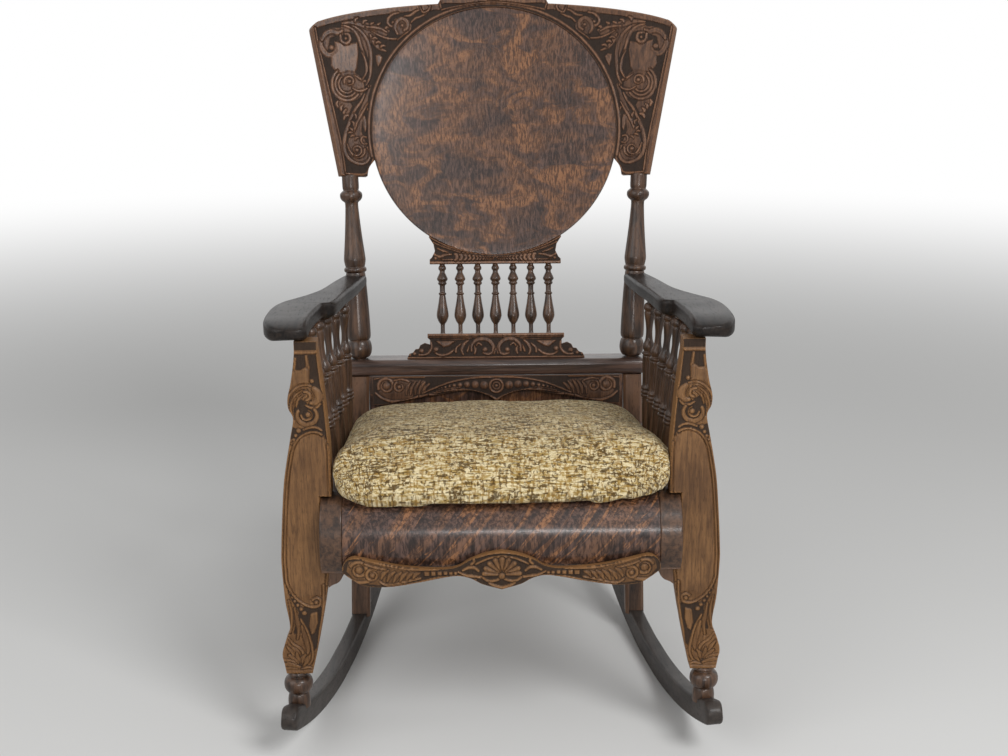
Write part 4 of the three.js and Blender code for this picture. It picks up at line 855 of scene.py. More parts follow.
class ROCKER_OT_materials(bpy.types.Operator):
    """Makes the wood, steel and fabric finishes."""

    bl_idname = "rocker.materials"
    bl_label = "Finishes"

    def execute(self, context):
        wood = context.scene.rocker_wood
        cloth = context.scene.rocker_cushion
        dark, light = tuple(wood.frame_dark), tuple(wood.frame_light)
        plain_oak("frame_wood", dark, light, (1, 1, 0.07), 0.3)
        plain_oak("cross_wood", dark, light, (0.07, 1, 1), 0.34)
        plain_oak("rail_wood", dark, light, (1, 0.06, 1), 0.28)
        arm_dark, arm_light = tuple(wood.arm_dark), tuple(wood.arm_light)
        plain_oak("arm_wood", arm_dark, arm_light, (1, 0.06, 1), 0.3, coat=0.14, shine=0.1)
        plain_oak("shelf_wood", tint("#2b201c"), tint("#5e493f"), (0.06, 1, 1), 0.22, coat=0.45)
        plain_oak("runner_wood", tint("#2a2522"), tint("#3f3732"), (1, 0.05, 1), 0.42, coat=0.15)
        figure = tuple(wood.figure_dark), tuple(wood.figure_light), tuple(wood.figure_flake)
        figured_oak("disc_wood", figure, (15, 15, 30), (0, 0, 0), (0.47, 0.57), (1, 1, 0.03), 0.2,
                    0.3)
        figured_oak("roll_wood", figure, (10, 10, 100), (0, math.radians(48), 0), (0.56, 0.6),
                    (0.6, 1, 0.1), 0.2, 0.1)
        ground = tuple(wood.ground)
        carved_oak("carved_wood", ground, tuple(wood.carved_dark), tuple(wood.carved_light), 0.36)
        carved_oak("post_wood", ground, tuple(wood.post_dark), tuple(wood.post_light), 0.36)
        chenille("chenille_cloth", tuple(cloth.pale), tuple(cloth.cream), tuple(cloth.gold),
                 tuple(cloth.brown))
        steel("dull_steel")
        return {"FINISHED"}


# Runners and feet

def runner_way():
    """Where the runners lie: their direction in plan, the balance point and the level stretch."""
    along = Vector((REAR_FOOT_SPREAD - FRONT_FOOT_SPREAD, leg_depth(RUNNER_HEIGHT), 0)).normalized()
    flat_angle = math.asin(RUNNER_FLAT / 2 / RUNNER_RADIUS)
    return along, BALANCE_DEPTH / along.y, flat_angle, RUNNER_RADIUS * math.cos(flat_angle)


def runner_top(depth):
    along, balance, _, level = runner_way()
    away = depth / along.y - balance
    return level - math.sqrt((RUNNER_RADIUS - RUNNER_HEIGHT) ** 2 - away ** 2)


class ROCKER_OT_runners(bpy.types.Operator):
    """Bends the two runners and gives them round ends and worn edges."""

    bl_idname = "rocker.runners"
    bl_label = "Runners"

    def execute(self, context):
        along, balance, flat_angle, _ = runner_way()
        nose = RUNNER_HEIGHT / 2
        start = -math.asin((balance + RUNNER_FRONT / along.y - nose) / RUNNER_RADIUS)
        end = math.asin((RUNNER_REAR / along.y - nose - balance) / RUNNER_RADIUS)
        angles = np.concatenate([
            np.linspace(start, -flat_angle, 40), np.linspace(flat_angle, end, 70),
        ])
        turns = np.linspace(0.06, 1, 9)
        stations = [(start, -math.cos(turn * math.pi / 2), math.sin(turn * math.pi / 2)) for turn in turns]
        stations += [(angle, 0, 1) for angle in angles[1:-1]]
        stations += [(end, math.cos(turn * math.pi / 2), math.sin(turn * math.pi / 2))
                     for turn in turns[::-1]]
        for word, side in SIDES:
            skin = strung([self.section(*station, side) for station in stations])
            add_piece(f"runner_{word}_bent", "runner_" + word, skin, "runner_wood", sharp=50)
        return {"FINISHED"}

    def section(self, angle, ahead, full, side):
        """A rounded rectangle across the runner, narrowed where an end closes."""
        along, balance, _, level = runner_way()
        across = Vector((along.y, -along.x, 0))
        half_height, half_width = RUNNER_HEIGHT / 2 * full, RUNNER_WIDTH / 2 * (0.72 + 0.28 * full)
        round_edge = min(RUNNER_ROUND, half_height * 0.9)
        corners = [(1, 1), (-1, 1), (-1, -1), (1, -1)]
        ring = []
        for corner, (out, up) in enumerate(corners):
            for step in range(5):
                turn = (corner + step / 4) * math.pi / 2
                wide = out * (half_width - round_edge) + round_edge * math.cos(turn)
                high = up * (half_height - round_edge) + round_edge * math.sin(turn)
                reach = RUNNER_RADIUS - RUNNER_HEIGHT / 2 - high
                forward = RUNNER_HEIGHT / 2 * ahead
                far = balance + reach * math.sin(angle) + forward * math.cos(angle)
                height = level - reach * math.cos(angle) + forward * math.sin(angle)
                place = along * far + across * wide
                ring.append((side * (FRONT_FOOT_SPREAD + place.x), place.y, max(height, 0)))
        return np.array(ring)


class ROCKER_OT_feet(bpy.types.Operator):
    """Turns the two bun feet."""

    bl_idname = "rocker.feet"
    bl_label = "Front feet"

    def execute(self, context):
        neck_top = POST_BOTTOM - FIT
        ball_top = neck_top - BALL_NECK
        bottom = runner_top(0) - FOOT_SINK
        ball = [(ball_top - BALL_HEIGHT * (1 - up), out * BALL_RADIUS) for up, out in FOOT_SHARES]
        profile = [(bottom, FOOT_RADIUS), (bottom + FOOT_HEIGHT, FOOT_RADIUS), (ball[0][0] - 1.5, 14), *ball]
        profile += [(ball_top + 1.2, 12.2), (ball_top + 2.2, 14), (ball_top + 4, 14.4),
                    (ball_top + 5.6, 13.6), (neck_top, 13)]
        for word, side in SIDES:
            at = side * FRONT_FOOT_SPREAD
            skin = turned(cut_corners(profile), (at, 0, 0), (at, 0, 100), sides=56)
            add_piece(f"front_foot_{word}_turned", "front_foot_" + word, skin, "frame_wood")
        return {"FINISHED"}


# Front posts

def post_edges():
    """The post's outer and inner edge on the right side, from its foot up and from its top down."""
    height = POST_TOP - POST_BOTTOM
    outer = spline([(POST_TOP_SPREAD + out * POST_WIDTH, POST_BOTTOM + up * height)
                    for up, out in POST_OUTER_SHARES])
    inner = spline([(POST_TOP_SPREAD + out * POST_WIDTH, POST_BOTTOM + up * height)
                    for up, out in POST_INNER_SHARES])
    return outer, inner


def post_outline():
    outer, inner = post_edges()
    cap = arm_under(POST_THICKNESS / 2) - FIT
    housing = RAIL_OUTER + FIT
    upper = [tuple(at) for at in inner if at[1] > SEAT_FRONT + FIT]
    lower = [tuple(at) for at in inner if at[1] < RAIL_BOTTOM - FIT]
    notch = [(upper[-1][0], SEAT_FRONT + FIT), (housing, SEAT_FRONT + FIT),
             (housing, RAIL_BOTTOM - FIT), (lower[0][0], RAIL_BOTTOM - FIT)]
    right = [tuple(at) for at in outer] + [(outer[-1][0], cap), (inner[0][0], cap)]
    return [(-across, up) for across, up in right + upper + notch + lower]


def paint_post(relief):
    outer, inner = post_edges()
    left_outer = np.array([(-x, z) for x, z in outer])
    left_inner = np.array([(-x, z) for x, z in inner[::-1]])

    def beside(edge, inset, low, high):
        """A line that keeps its distance from one edge."""
        kept = edge[(edge[:, 1] >= low) & (edge[:, 1] <= high)]
        return kept[::6] + np.array([inset, 0])

    # Scrolled head, over a sunk ground
    relief.sink((relief.up > 478) & (relief.up < 597), 0.0)
    relief.sink(relief.up > 603.5, 0.1)
    relief.line([(-290, 600), (-236, 600)], 2.6, 2.6)
    relief.line(beside(left_outer, 2.4, 555, 596), 1.6, 1.6, top=0.8)
    relief.line([(-246, 597), (-243, 560), (-240, 535), (-238, 510), (-236, 480), (-233, 450)], 1.7, 1.7)
    relief.line([(-261, 595), (-260, 586), (-259, 578)], 1.8, 2.6)
    relief.field([(-290, 535), (-286, 556), (-284, 570), (-277, 575), (-268, 576), (-262, 580), (-257, 576),
                  (-258, 566), (-256, 553), (-262, 545), (-275, 545)], 1.0, 3)
    relief.ball(-254.5, 560, 3)
    relief.field([(-290, 498), (-296, 525), (-290, 545), (-277, 556), (-262, 558), (-250, 552), (-242, 541),
                  (-244, 530), (-252, 524), (-262, 528), (-269, 534), (-276, 531), (-281, 520),
                  (-279, 508), (-272, 500), (-262, 495), (-276, 492)], 0.8, 2)
    relief.line([(-287, 503), (-290, 522), (-286, 539), (-275, 551), (-262, 554.5), (-251, 550)],
                1.4, 1.9, 1.5)
    relief.line([(-281.5, 507), (-284.5, 522), (-280.5, 536), (-271.5, 545), (-262, 547.5)], 1.2, 1.7, 1.2)
    relief.line([(-277, 524), (-274, 534), (-266, 541)], 1.1, 1.5, 1.0)
    relief.line([(-266, 545), (-259, 543), (-258, 536), (-263, 533)], 1.6, 2.2, 1.8)
    relief.line([(-252, 549), (-247, 543), (-246, 536), (-250, 530), (-257, 529)], 3.6, 5.2, 5.4, 4.4, 2.4)
    relief.line([(-244, 528), (-250, 522.5), (-258, 522.5), (-264, 526)], 1.3, 1.8, 1.2)
    relief.line(oval((-263, 511.5), 13.5, 13, np.linspace(math.radians(150), math.radians(400), 22)),
                2.0, 3.6, 2.0, vein=0.2)
    relief.line(oval((-264, 512), 7, 7, np.linspace(math.radians(180), math.radians(420), 14)), 1.2, 1.8, 1.2)
    relief.ball(-261.5, 512.5, 3.8)
    relief.balls([(-275.5, 490, 3.4), (-279.5, 483, 2.6), (-282.5, 477, 2.2), (-285.5, 471.5, 1.8)])
    relief.line([(-269, 491), (-259, 494.5), (-250, 494), (-244, 490)], 1.2, 1.7, 1.4)

    # Plain panel: its arched head and the bead along its outer edge
    panel_outer = [(x + 7, z) for x, z in left_outer[::8] if 238 < z < 470]
    panel_inner = [(x - 5, z) for x, z in left_inner[::8] if 238 < z < 484]
    arch = [(-285, 472), (-276, 481), (-264, 487), (-252, 488), (-243, 486)]
    relief.field(panel_outer + arch + panel_inner[::-1], 1.0, 1.6)
    relief.ball(-244.5, 483.5, 2.2)
    relief.line(beside(left_inner, -2.4, 262, 470), 1.2, 1.2, top=0.9)

    # Foot of the panel: the bead turns in to a volute, over leaves with thin sunk gaps
    relief.sink(relief.up < 250, 0.82)
    relief.field([(-292, 262), (-250, 262), (-250, 246), (-262, 248), (-272, 247), (-283, 243),
                  (-292, 254)], 1.0, 1)
    relief.field([(-280, 229), (-254, 229), (-252, 212), (-257, 190), (-262, 168), (-268, 160), (-272, 172),
                  (-278, 196), (-283, 212)], 0.0, 1)
    relief.line([(-301, 268), (-297, 250), (-291, 236), (-284, 222), (-288, 205), (-293, 190)], 1.2, 2.4, 1.2,
                top=0.05)
    volute = [(-266, 240), (-260, 243), (-255, 239), (-257, 232), (-265, 229), (-274, 231), (-282, 236),
              (-290, 243), (-297, 255)]
    arch = [(-285.5, 460), (-280.5, 472), (-272, 482), (-260, 487.5), (-250, 487), (-244, 484)]
    relief.line([*volute, *beside(left_outer, 5.0, 268, 444), *arch], 2.2, 2.0, 1.7, 1.6, 1.5, 1.5)
    relief.ball(-261.5, 236, 3.2)
    relief.balls([(-298, 250, 1.3), (-295, 244, 1.7), (-291.5, 238, 2.1), (-287.5, 232, 2.5),
                  (-283, 226, 3.0), (-278.5, 219.5, 3.5)])
    relief.field([(-270, 219), (-260, 222), (-260, 206), (-265, 190), (-270, 186), (-273, 200)], 1.0, 3)
    relief.line([(-250, 262), (-251, 235), (-254, 210), (-258, 190), (-261, 165), (-264, 145),
                 (-268, 130)], 1.9, 1.9)
    relief.line([(-300, 240), (-297, 222), (-297, 205), (-300, 190)], 1.2, 2.2, 1.2, vein=0.2)
    relief.line([(-292, 228), (-290, 212), (-288, 196), (-290, 180)], 1.3, 3.0, 1.4, vein=0.25)
    relief.line([(-284, 210), (-277, 194), (-272, 176), (-269, 158), (-272, 144), (-280, 136)],
                1.5, 2.3, 2.0, 1.4)
    relief.line([(-283, 200), (-280, 186), (-277, 172), (-276, 160), (-281, 152)], 1.8, 3.6, 3.0, 1.4,
                vein=0.2)
    relief.line([(-303, 182), (-296, 172), (-288, 166), (-283, 158), (-286, 150)], 1.2, 2.2, 2.4, 1.6)
    relief.ball(-289.5, 149, 3.8)
    relief.line([(-306, 170), (-300, 161), (-295, 153)], 1.2, 2.6, 1.2)
    for angle in (62, 92, 120, 146, 170):
        turn = math.radians(angle)
        tip = (-291 + 24 * math.cos(turn), 136 + 22 * math.sin(turn))
        relief.line([(-288, 136), ((-288 + tip[0]) / 2 - 1, (137 + tip[1]) / 2 + 2), tip], 1.4, 3.4, 1.8,
                    vein=0.3)
    relief.line([(-286, 133), (-276, 136), (-270, 134)], 1.2, 2.4, 1.2)
    relief.line([(-322, 130), (-300, 129), (-280, 130), (-268, 130)], 1.8, 2.2)
    relief.sink(relief.up < 127.5, 0.8)


class ROCKER_OT_front_posts(bpy.types.Operator):
    """Saws and carves the two front posts."""

    bl_idname = "rocker.front_posts"
    bl_label = "Front posts"

    def execute(self, context):
        relief = Relief((-335, 120), (-222, 622), 1.0)
        paint_post(relief)
        outline = post_outline()
        half = POST_THICKNESS / 2
        for name, flip in (("front_post_left", False), ("front_post_right", True)):
            carved_board(name + "_carved", name, outline, relief, upright, -half, half, "post_wood", flip)
        return {"FINISHED"}


# Seat frame, roll and apron

def roll_outline():
    drop = SEAT_FRONT - RAIL_BOTTOM
    reach = ROLL_REACH + SEAT_FRONT_DEPTH
    return spline([(SEAT_FRONT_DEPTH - out * reach, SEAT_FRONT - down * drop)
                   for out, down in ROLL_SHARES], 2.0)


class ROCKER_OT_seat_frame(bpy.types.Operator):
    """Bends the roll and saws the two side rails that cap it."""

    bl_idname = "rocker.seat_frame"
    bl_label = "Seat roll and side rails"

    def execute(self, context):
        outer = [(ROLL_BACK, seat_height(ROLL_BACK)), *map(tuple, roll_outline())]
        inner = []
        for index, at in enumerate(outer):
            before = np.array(outer[max(index - 1, 0)])
            after = np.array(outer[min(index + 1, len(outer) - 1)])
            along = (after - before) / np.linalg.norm(after - before)
            inner.append((at[0] - along[1] * ROLL_THICKNESS, at[1] + along[0] * ROLL_THICKNESS))
        half = RAIL_INNER - FIT
        skin = prism(outer + inner[::-1], -half, half)
        add_piece("seat_roll_bent", "seat_roll", skin, "roll_wood", sharp=50)
        rear_bottom = leg_depth(RAIL_BOTTOM) - LEG_FACE
        rear_top = leg_depth(SEAT_REAR) - LEG_FACE
        outline = [*map(tuple, roll_outline()), (rear_bottom, RAIL_BOTTOM), (rear_top, seat_height(rear_top))]
        for word, side in SIDES:
            skin = prism(outline, side * RAIL_INNER, side * RAIL_OUTER)
            soften(add_piece(f"side_rail_{word}_sawn", "side_rail_" + word, skin, "rail_wood"), RAIL_ROUND)
        return {"FINISHED"}


def paint_apron(relief):
    relief.line([(-219, 302), (-218, 310), (-212, 317), (-200, 319), (-188, 317), (-175, 312), (-160, 307),
                 (-140, 303), (-120, 301), (-95, 301), (-75, 303), (-62, 306), (-52, 311), (-44, 315),
                 (-32, 319), (-18, 323), (0, 325)], 1.5, 1.5)
    relief.field([(-214, 300), (-210, 314), (-190, 316), (-170, 309), (-130, 300), (-112, 299), (-112, 288),
                  (-140, 280), (-170, 278), (-200, 282)], 0.42, 2)
    relief.field(oval((0, 291), 26, 25, np.linspace(0, math.pi, 16)), 0.38, 2)
    relief.scroll((-196, 301), 12.5, 150, -1.25, 2.4, 0.42)
    relief.line([(-212, 292), (-204, 285), (-192, 283), (-180, 286), (-172, 290)], 1.6, 2.6, 2.0)
    relief.scroll((-178, 293), 9.5, 60, 1.2, 2.0, 0.4)
    relief.line([(-188, 310), (-178, 306), (-166, 303), (-156, 301)], 1.4, 1.8, 1.2)
    relief.line([(-168, 284), (-160, 279), (-148, 279), (-138, 282), (-126, 285), (-112, 288)], 1.4, 2.0, 1.6)
    for base, tip in (((-166, 288), (-156, 300)), ((-158, 284), (-147, 298)), ((-149, 283), (-138, 297)),
                      ((-140, 284), (-129, 297)), ((-131, 286), (-121, 296)), ((-122, 288), (-113, 296))):
        relief.leaf(base, tip, (-1.5, 1), 1.2, 2.9, 1.2)
    for across, half in ((-103, 3.4), (-94, 3.1), (-85.5, 2.8), (-77.5, 2.5), (-70, 2.2), (-63.5, 2.0),
                         (-57.5, 1.8)):
        relief.field([(across - half, 295 - half), (across + half, 295 - half),
                      (across + half, 295 + half), (across - half, 295 + half)], 1.0, 1.4)
    relief.line([(-200, 279), (-188, 276), (-170, 274), (-150, 276), (-120, 281), (-100, 286),
                 (-85, 289), (-60, 290), (-30, 290)], 1.3, 1.5)
    relief.line([(-80, 287), (-58, 283), (-36, 285)], 1.0, 1.8, 1.0)
    relief.line([(-54, 299), (-46, 303), (-38, 303), (-32, 298)], 1.6, 2.6, 1.6)
    relief.line([(-50, 311), (-46, 318), (-40, 318), (-38, 312), (-42, 308)], 1.4, 1.8)
    relief.line([(-60, 297), (-50, 292), (-38, 290), (-24, 288)], 1.2, 2.2, 1.4)
    relief.line([(-36, 308), (-28, 312), (-16, 317), (0, 319)], 1.2, 1.6)
    for angle in (90, 112, 134, 156, 176):
        turn = math.radians(angle)
        tip = (24 * math.cos(turn), 292 + 23 * math.sin(turn))
        relief.line([(4 * math.cos(turn), 292 + 4 * math.sin(turn)), tip], 1.0, 3.4)
    relief.line([(-26, 288), (-18, 283), (-8, 284), (0, 288)], 1.4, 2.2, 1.6)
    relief.line([(-18, 280), (-10, 276), (0, 273)], 1.2, 2.4, 2.0)
    relief.mirror()
    relief.ball(0, 290, 4.6)


class ROCKER_OT_apron(bpy.types.Operator):
    """Carves the apron under the roll."""

    bl_idname = "rocker.apron"
    bl_label = "Front apron"

    def execute(self, context):
        height = APRON_TOP - APRON_BOTTOM
        top = spline([(out * APRON_HALF_WIDTH, APRON_BOTTOM + up * height) for out, up in APRON_TOP_SHARES])
        bottom = spline([(out * APRON_HALF_WIDTH, APRON_BOTTOM + up * height)
                         for out, up in APRON_BOTTOM_SHARES])
        relief = Relief((-222, 266), (222, 332), 0.0)
        paint_apron(relief)
        rear = -ROLL_REACH - FIT
        half = [tuple(at) for at in bottom] + [tuple(at) for at in top]
        carved_board("front_apron_carved", "front_apron", both_sides(half), relief, upright,
                     rear - APRON_THICKNESS, rear, "post_wood")
        return {"FINISHED"}


# Shelf and lower back

class ROCKER_OT_shelf(bpy.types.Operator):
    """Planes the shelf and rounds its edges."""

    bl_idname = "rocker.shelf"
    bl_label = "Shelf"

    def execute(self, context):
        rear = SHELF_FRONT + SHELF_DEPTH
        low = SHELF_TOP - SHELF_THICKNESS
        outline = [(SHELF_FRONT, low), (rear, low), (rear, SHELF_TOP), (SHELF_FRONT, SHELF_TOP)]
        skin = prism(outline, -SHELF_HALF_WIDTH, SHELF_HALF_WIDTH)
        soften(add_piece("back_shelf_planed", "back_shelf", skin, "shelf_wood"), SHELF_ROUND, 6)
        return {"FINISHED"}


def paint_band(relief):
    relief.line([(-203, -33), (-180, -31), (-150, -30.5), (-120, -30.5)], 1.2, 1.2, top=0.8)
    relief.field([(-200, -40), (-190, -33), (-160, -33), (-120, -36), (-116, -50), (-125, -61), (-150, -70),
                  (-175, -70), (-195, -60)], 0.45, 2)
    relief.scroll((-183, -45), 14, 200, -1.3, 2.6, 0.45)
    relief.scroll((-162, -47), 8.5, 120, 1.2, 1.9, 0.42)
    relief.line([(-201, -57), (-190, -66), (-175, -71), (-155, -71), (-140, -67), (-128, -61)], 1.8, 2.8, 1.8)
    relief.line([(-170, -36), (-158, -34), (-146, -38), (-138, -44)], 1.4, 2.2, 1.2)
    for base, tip in (((-150, -60), (-143, -40)), ((-143, -60), (-135, -38)), ((-136, -60), (-127, -37)),
                      ((-129, -59), (-119, -39)), ((-122, -58), (-112, -42))):
        relief.leaf(base, tip, (-2.5, 0), 1.2, 2.8, 1.3)
    relief.line([(-124, -58), (-105, -50), (-90, -44), (-75, -39), (-50, -34), (-30, -32), (0, -31)],
                1.4, 1.5)
    relief.line([(-128, -63), (-105, -58), (-85, -54), (-60, -52), (-45, -54), (-30, -57), (-15, -62),
                 (0, -69)], 1.6, 1.8)
    relief.line([(-100, -55), (-80, -50.5), (-60, -49)], 0.9, 0.9)
    relief.line([(-112, -60), (-100, -62), (-94, -66), (-95, -72), (-101, -75), (-106, -71)], 1.6, 2.4, 2)
    relief.ball(-100, -69, 2.4)
    relief.balls([(-96, -50, 1.3), (-91, -49, 1.6), (-85, -47.8, 2), (-78, -46.4, 2.5),
                  (-70, -45.2, 3.2), (-60.5, -44.2, 4), (-49, -43.6, 5.2), (-35.5, -43.8, 6.4),
                  (-20.5, -45, 7)])
    relief.mirror()
    relief.field(oval((0, -46), 12, 12, np.linspace(0, 2 * math.pi, 24, endpoint=False)), 0.3, 1)
    relief.line(oval((0, -46), 11, 11, np.linspace(0, 2 * math.pi, 17)), 1.9, 1.9)
    relief.line(oval((0, -46), 6, 6, np.linspace(0, 2 * math.pi, 13)), 1.2, 1.2)
    relief.ball(0, -46, 3)


class ROCKER_OT_lower_back(bpy.types.Operator):
    """Carves the arched band on the lower back panel."""

    bl_idname = "rocker.lower_back"
    bl_label = "Carved band"

    def execute(self, context):
        lean = math.radians(POST_LEAN)

        def fall(height):
            """A height above the floor, counted along the panel from the shelf's top."""
            return (height - SHELF_TOP) / math.cos(lean)

        top = fall(SHELF_TOP - SHELF_THICKNESS - FIT) - BAND_SETBACK * math.sin(lean)
        arch = BAND_ARCH - BAND_END
        side = [(out * BAND_HALF_WIDTH, fall(BAND_END + up * arch)) for out, up in BAND_SHARES]
        under = spline(side + [(0, fall(BAND_POINT))])
        half = [tuple(at) for at in under[::-1]] + [(BAND_HALF_WIDTH, top)]
        relief = Relief((-210, -82), (210, -24), 0.0)
        paint_band(relief)
        front = LOWER_PANEL_FRONT - FIT - BAND_THICKNESS
        carved_board("carved_band_cut", "carved_band", both_sides(half), relief, leaned(POST_LEAN), front,
                     front + BAND_THICKNESS)
        return {"FINISHED"}


# Back: pediment, spindles, collar, round panel, crest and posts

def paint_pediment(relief):
    relief.sink(relief.up > 33, 1.0)
    relief.line([(-114, 34), (0, 34)], 1.0, 1.0)
    relief.line([(-148, 0.4), (0, 0.4)], 1.3, 1.3)
    relief.line([(-113, 30), (-108, 24), (-108, 15), (-113, 8), (-120, 5), (-128, 5)], 1.6, 2.4, 1.8)
    relief.balls([(-124.5, 11.5, 4), (-135.5, 7, 3), (-143.5, 4.6, 2)])
    relief.field([(-101, 28), (-66, 28), (-79, 19), (-88, 17)], 1.0, 2.4)
    relief.line([(-103, 10), (-97, 5.5), (-88, 4), (-78, 7), (-70, 13)], 1.4, 2.4, 1.6)
    relief.ball(-100, 14, 4.2)
    relief.line([(-67, 9), (-66, 16), (-58, 23)], 2.2, 1.8, 1.4)
    relief.line([(-55, 5), (-57, 12), (-54, 21), (-46, 29)], 1.6, 3.0, 1.6)
    relief.line([(-36, 20), (-34, 12), (-36, 6)], 1.2, 2.4, 1.4)
    relief.line([(-48, 10), (-44, 20)], 1.6, 1.6)
    relief.line([(-41, 11), (-40, 21), (-32, 29), (-22, 31), (-12, 28), (-5, 20), (-5, 10), (-13, 5),
                 (-21, 8)], 1.8, 3.2, 3.0, 2.0, vein=0.2)
    relief.ball(-18.5, 13, 4.2)
    relief.line([(-33, 19), (-29, 24), (-24, 20)], 1.2, 1.8, 1.2)
    relief.line([(-92, 31), (-60, 30.5), (-40, 32)], 0.8, 0.8)
    relief.mirror()
    relief.line([(-3, 6), (0, 14), (3, 6)], 1.4, 1.4)


class ROCKER_OT_pediment(bpy.types.Operator):
    """Carves the low pediment on the shelf."""

    bl_idname = "rocker.pediment"
    bl_label = "Pediment"

    def execute(self, context):
        relief = Relief((-152, -4), (152, 44), 0.0)
        paint_pediment(relief)
        half = PEDIMENT_THICKNESS / 2
        outline = both_sides([(0, -1.4)] + PEDIMENT_OUTLINE[::-1])
        carved_board("back_pediment_carved", "back_pediment", outline, relief, leaned(PANEL_LEAN),
                     -half, half)
        return {"FINISHED"}


class ROCKER_OT_back_spindles(bpy.types.Operator):
    """Turns the seven short spindles of the back."""

    bl_idname = "rocker.back_spindles"
    bl_label = "Back spindles"

    def execute(self, context):
        length = COLLAR_BOTTOM - PEDIMENT_TOP - 2 * FIT
        profile = [(FIT + up * length, out * SPINDLE_RADIUS) for up, out in BACK_SPINDLE_SHARES]
        place = leaned(PANEL_LEAN)
        for index in range(SPINDLE_COUNT):
            across = (index - (SPINDLE_COUNT - 1) / 2) * SPINDLE_SPACING
            foot, top = place(across, PEDIMENT_TOP, 0), place(across, COLLAR_BOTTOM, 0)
            name = f"back_spindle_{index + 1}"
            add_piece(name + "_turned", name, turned(cut_corners(profile), foot, top, sides=36), "frame_wood")
        return {"FINISHED"}


def paint_collar(relief):
    relief.sink(relief.up < 160.5, 1.0)
    cradle = DISC_RADIUS + JOINT_GAP
    over = np.hypot(relief.across, relief.up - DISC_CENTRE) < cradle + 3
    relief.sink(over, 0.85)
    relief.line([(-103, 192), (-95, 188), (-80, 182), (-60, 175.5), (-40, 171), (-20, 168.5), (0, 167.6)],
                1.3, 1.3)
    relief.line([(-104, 178), (-100, 171), (-92, 168), (-82, 171), (-73, 172)], 1.6, 2.6, 1.6)
    relief.line([(-96, 182), (-88, 178), (-78, 175)], 1.2, 2.0, 1.0)
    relief.ball(-99, 165.5, 2.6)
    relief.line([(-93, 163.5), (-82, 162.8), (-70, 163)], 0.9, 1.3)
    for across, half in ((-65, 3.0), (-57, 3.0), (-49.5, 2.7), (-42.5, 2.5), (-36, 2.2), (-30, 2.0),
                         (-24.5, 1.8), (-19.5, 1.6), (-15, 1.4), (-11, 1.2), (-7.4, 1.1), (-4, 1.0)):
        top = 165.5 + 0.0011 * across ** 2 + 0.6
        relief.line([(across - 1.5, 162.6), (across + 1.2, 164.6), (across + 0.4, top + 1.4),
                     (across - 1.6, top + 1.0)], half * 0.8, half, half * 0.7)
    relief.mirror()


class ROCKER_OT_collar(bpy.types.Operator):
    """Carves the collar in which the round panel sits."""

    bl_idname = "rocker.collar"
    bl_label = "Collar"

    def execute(self, context):
        cradle = DISC_RADIUS + JOINT_GAP
        ear = DISC_CENTRE - math.sqrt(cradle ** 2 - COLLAR_HALF_WIDTH ** 2)
        height = ear - COLLAR_BOTTOM
        side = [(out * COLLAR_HALF_WIDTH, COLLAR_BOTTOM + up * height) for out, up in COLLAR_SIDE_SHARES]
        span = math.asin(COLLAR_HALF_WIDTH / cradle)
        arc = [(cradle * math.sin(turn), DISC_CENTRE - cradle * math.cos(turn))
               for turn in np.linspace(span, 0, 60)]
        outline = both_sides([(0, COLLAR_BOTTOM)] + side + arc)
        relief = Relief((-114, 152), (114, 208), 0.0)
        paint_collar(relief)
        half = COLLAR_THICKNESS / 2
        carved_board("back_collar_carved", "back_collar", outline, relief, leaned(PANEL_LEAN), -half, half)
        return {"FINISHED"}


class ROCKER_OT_round_panel(bpy.types.Operator):
    """Bends the round panel."""

    bl_idname = "rocker.round_panel"
    bl_label = "Round panel"

    def execute(self, context):
        front = -CREST_THICKNESS / 2 + DISC_RECESS
        rim = 1.5
        radius = DISC_RADIUS + JOINT_GAP + 0.4
        layers = [(0, front)] + [(share * (radius - rim), front) for share in np.linspace(0.04, 1, 26)]
        for turn in np.linspace(15, 90, 5):
            turn = math.radians(turn)
            layers.append((radius - rim + rim * math.sin(turn), front + rim - rim * math.cos(turn)))
        layers.append((radius, front + DISC_THICKNESS))
        layers += [(share * radius, front + DISC_THICKNESS) for share in np.linspace(0.96, 0.04, 12)]
        turns = np.linspace(0, 2 * math.pi, 180, endpoint=False)
        rings = [bent(max(reach, 0.4) * np.cos(turns), DISC_CENTRE + max(reach, 0.4) * np.sin(turns),
                      np.full(len(turns), float(behind))) for reach, behind in layers]
        add_piece("round_panel_bent", "round_back_panel", strung(rings), "disc_wood")
        return {"FINISHED"}


def crest_outline():
    opening = DISC_RADIUS + JOINT_GAP
    low = math.asin((CREST_NOTCH - DISC_CENTRE) / opening)
    notch = (opening * math.cos(low), CREST_NOTCH)
    cove = spline([(CREST_FOOT_INNER, CREST_FOOT), (CREST_FOOT_INNER - 3, CREST_FOOT + 14), notch])
    corner = spline([(CREST_HALF_WIDTH - 1.6, CREST_CORNER - 9), (CREST_HALF_WIDTH - 1.4, CREST_CORNER - 3),
                     (CREST_HALF_WIDTH - 6, CREST_CORNER + 3.2), (CREST_HALF_WIDTH - 12, CREST_CORNER + 7.4)])
    top = [(around, float(crest_top(around)))
           for around in np.linspace(CREST_HALF_WIDTH - 14, TABLET_HALF_WIDTH + 3, 120)]
    shoulder = [(TABLET_HALF_WIDTH - 2, float(crest_top(TABLET_HALF_WIDTH - 2)) - 1)]
    tablet = [(around, float(crest_top(around))) for around in np.linspace(TABLET_HALF_WIDTH - 4, 0, 60)]
    arc = oval((0, DISC_CENTRE), opening, opening, np.linspace(math.pi / 2, low, 200))
    half = arc[:-1] + [tuple(at) for at in cove[::-1]] + [(CREST_FOOT_OUTER, CREST_FOOT)]
    half += [tuple(at) for at in corner] + top + shoulder + tablet
    return both_sides(half)


